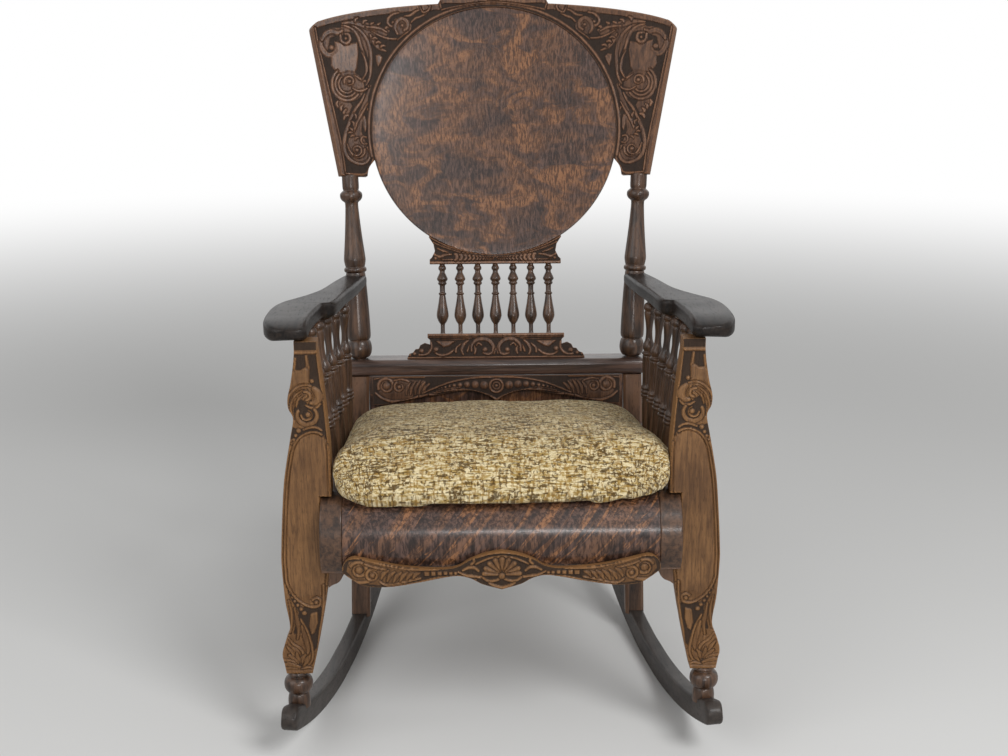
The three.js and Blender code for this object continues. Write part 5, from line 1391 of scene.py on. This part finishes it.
def paint_crest(relief):
    edge = [(-297, 535), (-291, 505), (-283, 470), (-274, 430), (-265, 392), (-256, 350), (-249, 303)]

    # Plain border along the top, and the strip outside the bead
    relief.sink(relief.up > crest_top(relief.across) - 10, 0.82)
    side = np.interp(relief.up, [at[1] for at in edge[::-1]], [at[0] for at in edge[::-1]])
    relief.sink(relief.across < side - 1, 0.75)
    relief.line(edge, 1.5, 1.5)
    relief.line([(-249, 303), (-232, 301.8), (-216, 303), (-210, 312), (-205, 321), (-203, 330)], 1.5, 1.5)

    # Tablet in the middle of the top
    relief.sink((np.abs(relief.across) < 84) & (relief.up > 584), 1.0)
    relief.line([(-91, 590), (-88, 580), (-86, 572)], 1.5, 1.5)
    relief.line([(-92, 584), (-97, 588), (-100, 583)], 1.4, 1.4)

    # Broad leaf bodies under the finer strokes
    relief.field([(-288, 512), (-285, 528), (-272, 537), (-255, 538), (-250, 549), (-225, 551), (-196, 546),
                  (-172, 537), (-178, 528), (-196, 528), (-206, 512), (-209, 488), (-213, 500), (-224, 526),
                  (-240, 532), (-250, 526), (-262, 524), (-272, 520), (-276, 500), (-284, 498)], 0.6, 2)
    relief.field(oval((-243, 444), 27, 25, np.linspace(0, 2 * math.pi, 24, endpoint=False)), 0.6, 2)
    relief.field([(-208, 447), (-214, 430), (-228, 398), (-240, 372), (-246, 350), (-244, 334), (-232, 323),
                  (-216, 322), (-209, 334), (-214, 352), (-222, 372), (-218, 398), (-211, 420),
                  (-204, 448)], 0.55, 2)
    relief.field(oval((-153, 545), 17, 15, np.linspace(0, 2 * math.pi, 20, endpoint=False)), 0.6, 2)
    relief.field([(-262, 420), (-244, 424), (-236, 412), (-244, 396), (-256, 402)], 0.6, 2)

    # Cup-shaped plain cartouche with the bulb below it
    relief.line([(-287, 520), (-287, 505), (-277, 493), (-265, 497), (-262, 508)], 2.4, 4.5, 4.2, 2.2,
                vein=0.25)
    relief.ball(-270, 505, 4.4)
    relief.line([(-286, 516), (-280, 526), (-270, 531), (-260, 529), (-252, 533)], 2.4, 4.5, 4.0, 2.4,
                vein=0.25)
    relief.field([(-266, 516), (-262, 500), (-271, 492), (-272, 476), (-264, 466), (-256, 463),
                  (-244, 467), (-232, 466), (-228, 474), (-225, 500), (-227, 516), (-246, 512)], 0.9, 3)
    relief.line([(-255, 526), (-253, 516), (-245, 513), (-239, 519), (-241, 527), (-247, 528)], 2.0, 2.8, 2.2)
    relief.ball(-246, 521, 2.6)
    for reach, half in ((26, 2.2), (20, 1.9), (14, 1.7)):
        arc = [(-246 + reach * 0.92 * math.cos(math.radians(angle)),
                447 + reach * math.sin(math.radians(angle)))
               for angle in range(128, 330, 14)]
        relief.line(arc, half, half * 1.2, half, vein=0.15)
    relief.scroll((-241, 452), 9, 200, -1.2, 2.0, 0.4)
    relief.line([(-236, 441), (-226, 437), (-214, 440), (-208, 448)], 1.6, 2.4, 1.2)
    relief.line([(-232, 462), (-222, 456), (-213, 452), (-209, 444)], 1.4, 2.6, 1.4)

    # Stems that rise from the ring, and the leaves that hang from them
    relief.line([(-252, 542), (-236, 537), (-226, 525), (-221, 510), (-216, 495)], 1.6, 2.8, 2.8, 1.6)
    relief.line([(-246, 547), (-224, 536), (-211, 520), (-205, 500), (-205, 478), (-207, 460), (-213, 447)],
                1.5, 2.6, 3.0, 2.6, 1.4, vein=0.2)
    relief.line([(-220, 500), (-214, 487), (-212, 470), (-219, 456)], 1.2, 2.6, 1.2)
    relief.line([(-252, 545), (-236, 547), (-222, 544), (-208, 539), (-196, 534)], 1.6, 3.4, 3.4, 1.8,
                vein=0.25)
    relief.fronds([(-236, 549), (-220, 547), (-204, 542), (-188, 541), (-176, 536)], 1, 5, 8, 2.6,
                  0.1, 0.95, 60)
    relief.line([(-212, 541), (-200, 541), (-188, 539), (-178, 534)], 1.6, 2.8, 1.6)
    relief.line([(-206, 529), (-199, 517), (-191, 508), (-179, 503)], 1.6, 3.6, 3.0, 1.2, vein=0.25)
    relief.fronds([(-204, 526), (-196, 515), (-186, 507)], 1, 3, 8, 2.4, 0.2, 0.9, 55)
    relief.field([(-197, 496), (-190, 498), (-185, 493), (-188, 484), (-193, 477), (-196, 486)], 1.0, 3)
    relief.line([(-202, 534), (-190, 528), (-176, 524), (-160, 524), (-150, 530)], 1.4, 2.0, 1.4)
    relief.line([(-160, 522), (-152, 529), (-142, 536)], 1.0, 1.4)

    # Scrolls over the ring
    relief.line([(-158, 566), (-168, 563), (-175, 556), (-176, 549), (-171, 544), (-165, 545)], 1.6, 2.4,
                2.4, 2)
    relief.ball(-167, 550, 3)
    relief.line([(-160, 532), (-164, 541), (-161, 551), (-152, 557), (-144, 552), (-143, 543), (-149, 538)],
                2.0, 3.2, 3.2, 2.2, vein=0.2)
    relief.ball(-152, 546, 3.2)
    relief.line([(-148, 561), (-138, 563), (-130, 569), (-121, 573)], 1.4, 2.4, 1.2)
    relief.line([(-137, 551), (-130, 558), (-122, 561), (-112, 566)], 1.2, 2.2, 1.2)
    relief.line([(-122, 577), (-117, 568), (-109, 571), (-105, 578), (-110, 582)], 1.2, 1.8, 1.4)

    # Long S stem and the scroll at the wing's foot
    relief.fronds([(-262, 420), (-252, 412), (-244, 400), (-244, 388)], -1, 4, 10, 2.8, 0.05, 0.8, 50)
    relief.line([(-216, 432), (-222, 420), (-231, 408), (-238, 395), (-244, 380), (-249, 365), (-251, 350),
                 (-249, 336), (-242, 326), (-231, 320), (-220, 319), (-211, 325), (-208, 336), (-212, 346)],
                1.6, 2.4, 3.2, 3.0, 2.6, 2.0, vein=0.2)
    relief.line([(-246, 350), (-242, 340), (-234, 331), (-225, 330), (-218, 335), (-217, 343)], 1.4, 2.2, 2.0)
    relief.scroll((-230, 341), 9, 250, 1.2, 1.7, 0.4)
    relief.line([(-211, 418), (-219, 404), (-227, 390), (-233, 376), (-238, 362)], 1.2, 2.4, 2.4, 1.2)
    relief.fronds([(-232, 402), (-238, 388), (-242, 372)], 1, 3, 8, 2.2, 0.1, 0.9, 40)
    relief.field([(-220, 396), (-216, 398), (-213, 388), (-213, 376), (-216, 370), (-219, 380)], 1.0, 2.4)
    relief.line([(-214, 362), (-220, 363), (-223, 357), (-219, 351), (-213, 352)], 1.4, 1.8, 1.4)
    relief.fronds([(-246, 372), (-240, 362), (-230, 356)], 1, 3, 7, 2.0, 0.2, 0.9, 60)
    relief.line([(-212, 410), (-209, 402), (-211, 394)], 1.0, 1.8, 1.0)
    relief.mirror()

    # Bead round the opening
    ring = oval((0, DISC_CENTRE), 209.5, 209.5, np.linspace(math.radians(-12), math.radians(192), 120))
    relief.line(ring, 2.3, 2.3)
    relief.line([(-86, 573), (-60, 579), (-30, 584), (0, 586), (30, 584), (60, 579), (86, 573)], 1.4, 1.4)


class ROCKER_OT_crest(bpy.types.Operator):
    """Bends and carves the crest."""

    bl_idname = "rocker.crest"
    bl_label = "Crest"

    def execute(self, context):
        relief = Relief((-306, 296), (306, 600), 0.0)
        paint_crest(relief)
        half = CREST_THICKNESS / 2
        carved_board("crest_rail_carved", "crest_rail", crest_outline(), relief, bent, -half, half)
        return {"FINISHED"}


class ROCKER_OT_back_posts(bpy.types.Operator):
    """Turns the two back posts."""

    bl_idname = "rocker.back_posts"
    bl_label = "Back posts"

    def execute(self, context):
        foot = Vector(leaned(POST_LEAN)(BACK_POST_SPREAD, 0, 0))
        seat = bent(BACK_POST_TOP_SPREAD, CREST_FOOT, 0)
        top = Vector((BACK_POST_TOP_SPREAD, seat[1], seat[2] - POST_SHOULDER))
        start = POST_SHOULDER
        length = (top - foot).length
        profile = [(start + up * (length - start), out * BACK_POST_RADIUS) for up, out in BACK_POST_SHARES]
        profile = [(-6, 9), (start - 0.2, 9)] + profile + [(length + 4, 13.2), (length + 9, 6)]
        for word, side in SIDES:
            skin = turned(cut_corners(profile), (side * foot.x, foot.y, foot.z),
                          (side * top.x, top.y, top.z), sides=60)
            add_piece(f"back_post_{word}_turned", "back_post_" + word, skin, "frame_wood")
        return {"FINISHED"}


# Arms and the spindles under them

def nose_fullness(depth, length):
    share = min(max((depth - ARM_FRONT_DEPTH) / length, 0), 1)
    return 0.3 + 0.7 * math.sqrt(1 - (1 - share) ** 2)


def arm_section(outer, inner):
    across = inner - outer
    width = np.linalg.norm(across)
    half = (arm_height(outer[1]) - arm_under(outer[1])) / 2
    middle = arm_under(outer[1]) + half
    low = middle - half * nose_fullness(outer[1], ARM_NOSE_UNDER)
    height = middle + half * nose_fullness(outer[1], ARM_NOSE) - low
    edge = min(ARM_ROUND, 0.48 * height, 0.48 * width)
    ring = []
    centres = [(width - edge, height - edge), (edge, height - edge), (edge, edge), (width - edge, edge)]
    for corner, (over, up) in enumerate(centres):
        for step in range(7):
            turn = (corner + step / 6) * math.pi / 2
            place = outer + across * (over + edge * math.cos(turn)) / width
            ring.append((place[0], place[1], low + up + edge * math.sin(turn)))
    return np.array(ring)


class ROCKER_OT_arms(bpy.types.Operator):
    """Shapes the two arms with their rolled noses."""

    bl_idname = "rocker.arms"
    bl_label = "Arms"

    def execute(self, context):
        length = ARM_REAR_DEPTH - ARM_FRONT_DEPTH
        count = 120
        sides = []
        for shares in (ARM_OUTER_SHARES, ARM_INNER_SHARES):
            path = spline([(ARM_SPREAD + out * ARM_HALF_WIDTH, ARM_FRONT_DEPTH + back * length)
                           for back, out in shares], 1.0)
            path[:, 0] = np.minimum(path[:, 0], CAD_BOX[1][0] / MM)
            sides.append(spaced(path, np.linalg.norm(np.diff(path, axis=0), axis=1).sum() / count)[:count])
            sides[-1][-1] = path[-1]
        for word, side in SIDES:
            rings = [arm_section(outer, inner) * np.array([side, 1, 1]) for outer, inner in zip(*sides)]
            add_piece(f"arm_{word}_shaped", "arm_" + word, strung(rings), "arm_wood", sharp=60)
        return {"FINISHED"}


class ROCKER_OT_arm_spindles(bpy.types.Operator):
    """Turns and reeds the five spindles under each arm."""

    bl_idname = "rocker.arm_spindles"
    bl_label = "Arm spindles"

    def execute(self, context):
        rail = (RAIL_INNER + RAIL_OUTER) / 2
        for index in range(ARM_SPINDLE_COUNT):
            depth = ARM_SPINDLE_FIRST + index * ARM_SPINDLE_SPACING
            along = index / (ARM_SPINDLE_COUNT - 1)
            share = along * (1 - 0.4 * (1 - along))
            spread = ARM_SPINDLE_FRONT + share * (ARM_SPINDLE_REAR - ARM_SPINDLE_FRONT)
            foot = Vector((rail, depth, seat_height(depth)))
            top = Vector((spread, depth, arm_under(depth)))
            length = (top - foot).length
            span = length - 2 * SPINDLE_GAP
            profile = [(SPINDLE_GAP + up * span, out * ARM_SPINDLE_RADIUS) for up, out in ARM_SPINDLE_SHARES]
            profile = [(-3, PEG_RADIUS), (1.4, PEG_RADIUS), *profile, (length - 1.4, PEG_RADIUS),
                       (length + 3, PEG_RADIUS)]
            reeds = [SPINDLE_GAP + share * span for share in ARM_SPINDLE_REEDS]
            for word, side in SIDES:
                name = f"arm_spindle_{word}_{index + 1}"
                skin = turned(cut_corners(profile), (side * foot.x, foot.y, foot.z),
                              (side * top.x, top.y, top.z), sides=48, reeds=reeds)
                add_piece(name + "_turned", name, skin, "frame_wood")
        return {"FINISHED"}


class ROCKER_OT_plain_parts(bpy.types.Operator):
    """Gives the plain frame parts their finish."""

    bl_idname = "rocker.plain_parts"
    bl_label = "Plain frame parts"

    finishes = {
        "rear_leg_right": "frame_wood", "rear_leg_left": "frame_wood",
        "corner_bracket_right": "frame_wood", "corner_bracket_left": "frame_wood",
        "seat_board": "cross_wood", "seat_front_rail": "cross_wood", "seat_rear_rail": "cross_wood",
        "lower_back_panel": "disc_wood", "arm_screw_right": "dull_steel", "arm_screw_left": "dull_steel",
    }

    def execute(self, context):
        for node, finish in self.finishes.items():
            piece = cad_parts[node]
            if not piece.material_slots:
                piece.data.materials.append(None)
            piece.material_slots[0].material = bpy.data.materials[finish]
        return {"FINISHED"}


# Cushion

def roll_shoulder():
    """The roll's upper half, from its most forward point back."""
    profile = roll_outline()
    upper = profile[:int(np.argmin(profile[:, 0])) + 1][::-1]
    return upper[:, 0], upper[:, 1]


SHOULDER = roll_shoulder()


def seat_surface(depth):
    if depth >= SEAT_FRONT_DEPTH:
        return seat_height(depth)
    return min(seat_height(depth), float(np.interp(depth, *SHOULDER)) + CUSHION_LIFT)


def cushion_base(depth):
    """The cushion's underside: on the seat, and clear of the roll where it hangs over."""
    return max(seat_surface(depth), CUSHION_OVERHANG)


def side_room(depth):
    """How far the cushion may reach sideways: posts and spindles stand beside it."""
    return np.interp(depth, *zip(*SIDE_ROOM))


def cushion_place(angle, share):
    """Where a point of the cushion's plan lies, at a share of the way out to its edge."""
    corner = CUSHION_FRONT_CORNER if math.sin(angle) < 0 else CUSHION_REAR_CORNER
    side = math.copysign(abs(math.cos(angle)) ** corner, math.cos(angle))
    along = math.copysign(abs(math.sin(angle)) ** corner, math.sin(angle))
    drawn = 1 - 0.012 * math.cos(2 * angle) ** 2
    width = CUSHION_HALF_WIDTH * (1 - (along + 1) / 2 * CUSHION_TAPER)
    half = (CUSHION_REAR - CUSHION_FRONT) / 2
    forward = CUSHION_BULGE * share * max(0, -along) ** 3 * (1 - side ** 2)
    flat = Vector((share * drawn * side * width, share * drawn * along * half - forward))
    turn = math.radians(CUSHION_TURN)
    across = flat.x * math.cos(turn) - flat.y * math.sin(turn)
    depth = (CUSHION_FRONT + CUSHION_REAR) / 2 + flat.x * math.sin(turn) + flat.y * math.cos(turn)
    return across, depth


class ROCKER_OT_cushion(bpy.types.Operator):
    """Fills the loose cushion and covers it."""

    bl_idname = "rocker.cushion"
    bl_label = "Seat cushion"

    def execute(self, context):
        settings = context.scene.rocker_cushion
        segments = 120
        rings = []
        for share, edge, crown in CUSHION_LAYER_SHARES:
            ring = []
            for segment in range(segments):
                across, depth = cushion_place(2 * math.pi * segment / segments, max(share, 0.01))
                raised = CUSHION_CORNER_RISE * max(0, abs(across) / CUSHION_HALF_WIDTH - 0.55) ** 2 / 0.2
                base = cushion_base(depth) + FIT + raised * max(0, 1 - max(0, depth) / 60)
                thinner = max(0, (depth - CUSHION_THIN_FROM) / (CUSHION_REAR - CUSHION_THIN_FROM)) ** 1.3
                height = edge * CUSHION_EDGE + crown * CUSHION_CROWN
                ring.append((across, depth, base + height * (1 - CUSHION_THINNING * thinner)))
            rings.append(np.array(ring))
        pad = add_piece("seat_cushion_filled", "seat_cushion", strung(rings), "chenille_cloth",
                        body="cushion", sharp=180)
        self.remesh(pad, settings.voxel)
        self.fill(context, pad, settings)
        self.settle(pad)
        smooth = pad.modifiers.new("smooth_cover", "SUBSURF")
        smooth.levels = smooth.render_levels = 1
        self.mark_weave(pad)
        return {"FINISHED"}

    def remesh(self, pad, voxel):
        cells = pad.modifiers.new("even_cells", "REMESH")
        cells.mode = "VOXEL"
        cells.voxel_size = voxel
        self.take(pad)

    def take(self, pad):
        """Keeps the mesh as its modifiers leave it."""
        shown = pad.evaluated_get(bpy.context.evaluated_depsgraph_get())
        mesh = bpy.data.meshes.new_from_object(shown)
        pad.modifiers.clear()
        pad.data = mesh
        mesh.shade_smooth()

    def fill(self, context, pad, settings):
        """Blows the cover up a little against its own stitching."""
        start = [vertex.co.copy() for vertex in pad.data.vertices]
        cover = pad.modifiers.new("cover", "CLOTH")
        cover.settings.use_pressure = True
        cover.settings.uniform_pressure_force = settings.pressure
        cover.settings.effector_weights.gravity = 0
        cover.settings.quality = 5
        cover.point_cache.frame_start = 1
        cover.point_cache.frame_end = settings.frames
        for number in range(1, settings.frames + 1):
            context.scene.frame_set(number)
        self.take(pad)
        context.scene.frame_set(1)
        for vertex, before in zip(pad.data.vertices, start):
            moved = vertex.co - before
            if moved.length > settings.swell:
                vertex.co = before + moved.normalized() * settings.swell

    def settle(self, pad):
        """Rests the cushion on the seat and gives its cover slack, with a seam low on its side."""
        for vertex in pad.data.vertices:
            at = vertex.co
            depth = (at.y - FRONT_PLANE) / MM
            floor = (seat_surface(depth) + FIT) * MM
            slack = noise.noise(Vector((at.x * 14, at.y * 14, at.z * 20))) * SLACK
            slack += noise.noise(Vector((at.x * 40 + 7, at.y * 40, at.z * 40))) * FINE_SLACK
            under = max(floor, CUSHION_OVERHANG * MM)
            lift = max(0, min(1, (at.z - under) / 0.03))
            vertex.co.z += slack * MM * lift
            vertex.co.z = max(vertex.co.z, floor)
            room = side_room(depth) * MM
            vertex.co.x = max(-room, min(at.x * 1.075, room))
            seam = abs((at.z - under) / MM - SEAM_HEIGHT)
            if seam < SEAM_HALF_WIDTH and abs(vertex.normal.z) < 0.9:
                vertex.co -= vertex.normal * SEAM_DEPTH * MM * (1 - seam / SEAM_HALF_WIDTH)
        pad.data.update()

    def mark_weave(self, pad):
        """The yarn's own directions: over the top and down the sides without a break."""
        values = []
        top = (SEAT_FRONT + CUSHION_HEIGHT) * MM
        for vertex in pad.data.vertices:
            at = vertex.co
            drop = top - at.z
            side = min(1, max(0, (abs(at.x) - 0.18) / 0.045))
            front = min(1, max(0, (20 - (at.y - FRONT_PLANE) / MM) / 50))
            values.append((at.x + math.copysign(drop * side, at.x), at.y - drop * front, 0))
        layer = pad.data.attributes.new("weave", "FLOAT_VECTOR", "POINT")
        layer.data.foreach_set("vector", np.ravel(values))


# Stage

class ROCKER_OT_stage(bpy.types.Operator):
    """Sets the pale floor, the soft lamps and the camera."""

    bl_idname = "rocker.stage"
    bl_label = "Stage"

    def execute(self, context):
        settings = context.scene.rocker_stage
        self.floor()
        self.world(context, settings)
        self.lamp("key_lamp", (1.5, -2.4, 2.5), 1.3, settings.key)
        self.lamp("fill_lamp", (-2.2, -2.0, 1.9), 2.4, settings.fill)
        self.lamp("low_lamp", (0.3, -3.4, 0.87), 1.1, settings.low, 0.22)
        lens = bpy.data.cameras.new("camera")
        lens.sensor_width = 36
        lens.lens = settings.lens
        camera = bpy.data.objects.new("camera", lens)
        context.scene.collection.objects.link(camera)
        camera.matrix_world = (
            Matrix.Translation(settings.camera)
            @ Matrix.Rotation(-settings.yaw, 4, "Z")
            @ Matrix.Rotation(math.pi / 2 - settings.pitch, 4, "X")
            @ Matrix.Rotation(-settings.roll, 4, "Z")
        )
        context.scene.camera = camera
        context.scene.view_settings.view_transform = "Standard"
        return {"FINISHED"}

    def lamp(self, name, place, size, power, tall=None):
        light = bpy.data.lights.new(name, "AREA")
        light.shape = "ELLIPSE"
        light.size = size
        light.size_y = tall or size
        light.energy = power
        lamp = bpy.data.objects.new(name, light)
        bpy.context.scene.collection.objects.link(lamp)
        aim = Vector((0, 0, 0.5)) - Vector(place)
        lamp.matrix_world = Matrix.Translation(place) @ aim.to_track_quat("-Z", "Y").to_matrix().to_4x4()

    def floor(self):
        mesh = bpy.data.meshes.new("floor")
        reach = 40
        mesh.from_pydata([(-reach, -reach, 0), (reach, -reach, 0), (reach, reach, 0), (-reach, reach, 0)], [],
                         [(0, 1, 2, 3)])
        floor = bpy.data.objects.new("floor", mesh)
        bpy.context.scene.collection.objects.link(floor)
        paint = bpy.data.materials.new("pale_floor")
        shader = Shader(paint)
        place = shader.place((1, 1, 0))
        away = shader.node("ShaderNodeVectorMath", {"operation": "LENGTH"}, [place], output="Value")
        near = shader.node("ShaderNodeBsdfDiffuse", {}, {"Color": (0.72, 0.72, 0.71, 1)})
        seen = shader.node("ShaderNodeLightPath", output="Is Camera Ray")
        far = shader.node("ShaderNodeEmission", {}, {"Color": (1, 1, 1, 1)})
        share = shader.ease(away, 1.6, 6.0) * seen
        surface = shader.node("ShaderNodeMixShader", {}, [share, near, far])
        shader.node("ShaderNodeOutputMaterial", {}, {"Surface": surface})
        mesh.materials.append(paint)

    def world(self, context, settings):
        """An even light, which camera, glossy and transmission rays see as plain white."""
        context.scene.world = bpy.data.worlds.new("room")
        shader = Shader(context.scene.world)
        camera, glossy, clear = (shader.node("ShaderNodeLightPath", output=ray)
                                 for ray in ("Is Camera Ray", "Is Glossy Ray", "Is Transmission Ray"))
        seen = camera.maths("MAXIMUM", camera, glossy.maths("MAXIMUM", glossy, clear))
        lights = [shader.node("ShaderNodeBackground", {}, {"Color": (1, 1, 1, 1), "Strength": strength})
                  for strength in (settings.sky, 1.0)]
        room = shader.node("ShaderNodeMixShader", {}, [seen, *lights])
        shader.node("ShaderNodeOutputWorld", {}, {"Surface": room})


OPERATORS = (
    ROCKER_OT_stage, ROCKER_OT_materials, ROCKER_OT_plain_parts, ROCKER_OT_runners, ROCKER_OT_feet,
    ROCKER_OT_front_posts, ROCKER_OT_seat_frame, ROCKER_OT_apron, ROCKER_OT_shelf, ROCKER_OT_lower_back,
    ROCKER_OT_pediment, ROCKER_OT_back_spindles, ROCKER_OT_collar, ROCKER_OT_round_panel,
    ROCKER_OT_crest, ROCKER_OT_back_posts, ROCKER_OT_arms, ROCKER_OT_arm_spindles, ROCKER_OT_cushion,
)
SETTINGS = {
    "rocker_wood": RockerWood, "rocker_carving": RockerCarving, "rocker_cushion": RockerCushion,
    "rocker_stage": RockerStage,
}


class ROCKER_PT_panel(bpy.types.Panel):
    """Lists the chair's pieces and their settings."""

    bl_idname = "ROCKER_PT_panel"
    bl_label = "Roll-seat rocking chair"
    bl_space_type = "VIEW_3D"
    bl_region_type = "UI"
    bl_category = "Rocking chair"

    def draw(self, context):
        for name, kind in SETTINGS.items():
            group = getattr(context.scene, name)
            box = self.layout.box()
            for setting in kind.__annotations__:
                box.prop(group, setting)
        for operator in OPERATORS:
            self.layout.operator(operator.bl_idname)


def register():
    for kind in (*SETTINGS.values(), *OPERATORS, ROCKER_PT_panel):
        bpy.utils.register_class(kind)
    for name, kind in SETTINGS.items():
        setattr(bpy.types.Scene, name, PointerProperty(type=kind))


def unregister():
    for name in SETTINGS:
        delattr(bpy.types.Scene, name)
    for kind in (ROCKER_PT_panel, *reversed(OPERATORS), *SETTINGS.values()):
        bpy.utils.unregister_class(kind)


def main():
    register()
    for operator in OPERATORS:
        group, name = operator.bl_idname.split(".")
        getattr(getattr(bpy.ops, group), name)()


if __name__ == "__main__":
    main()
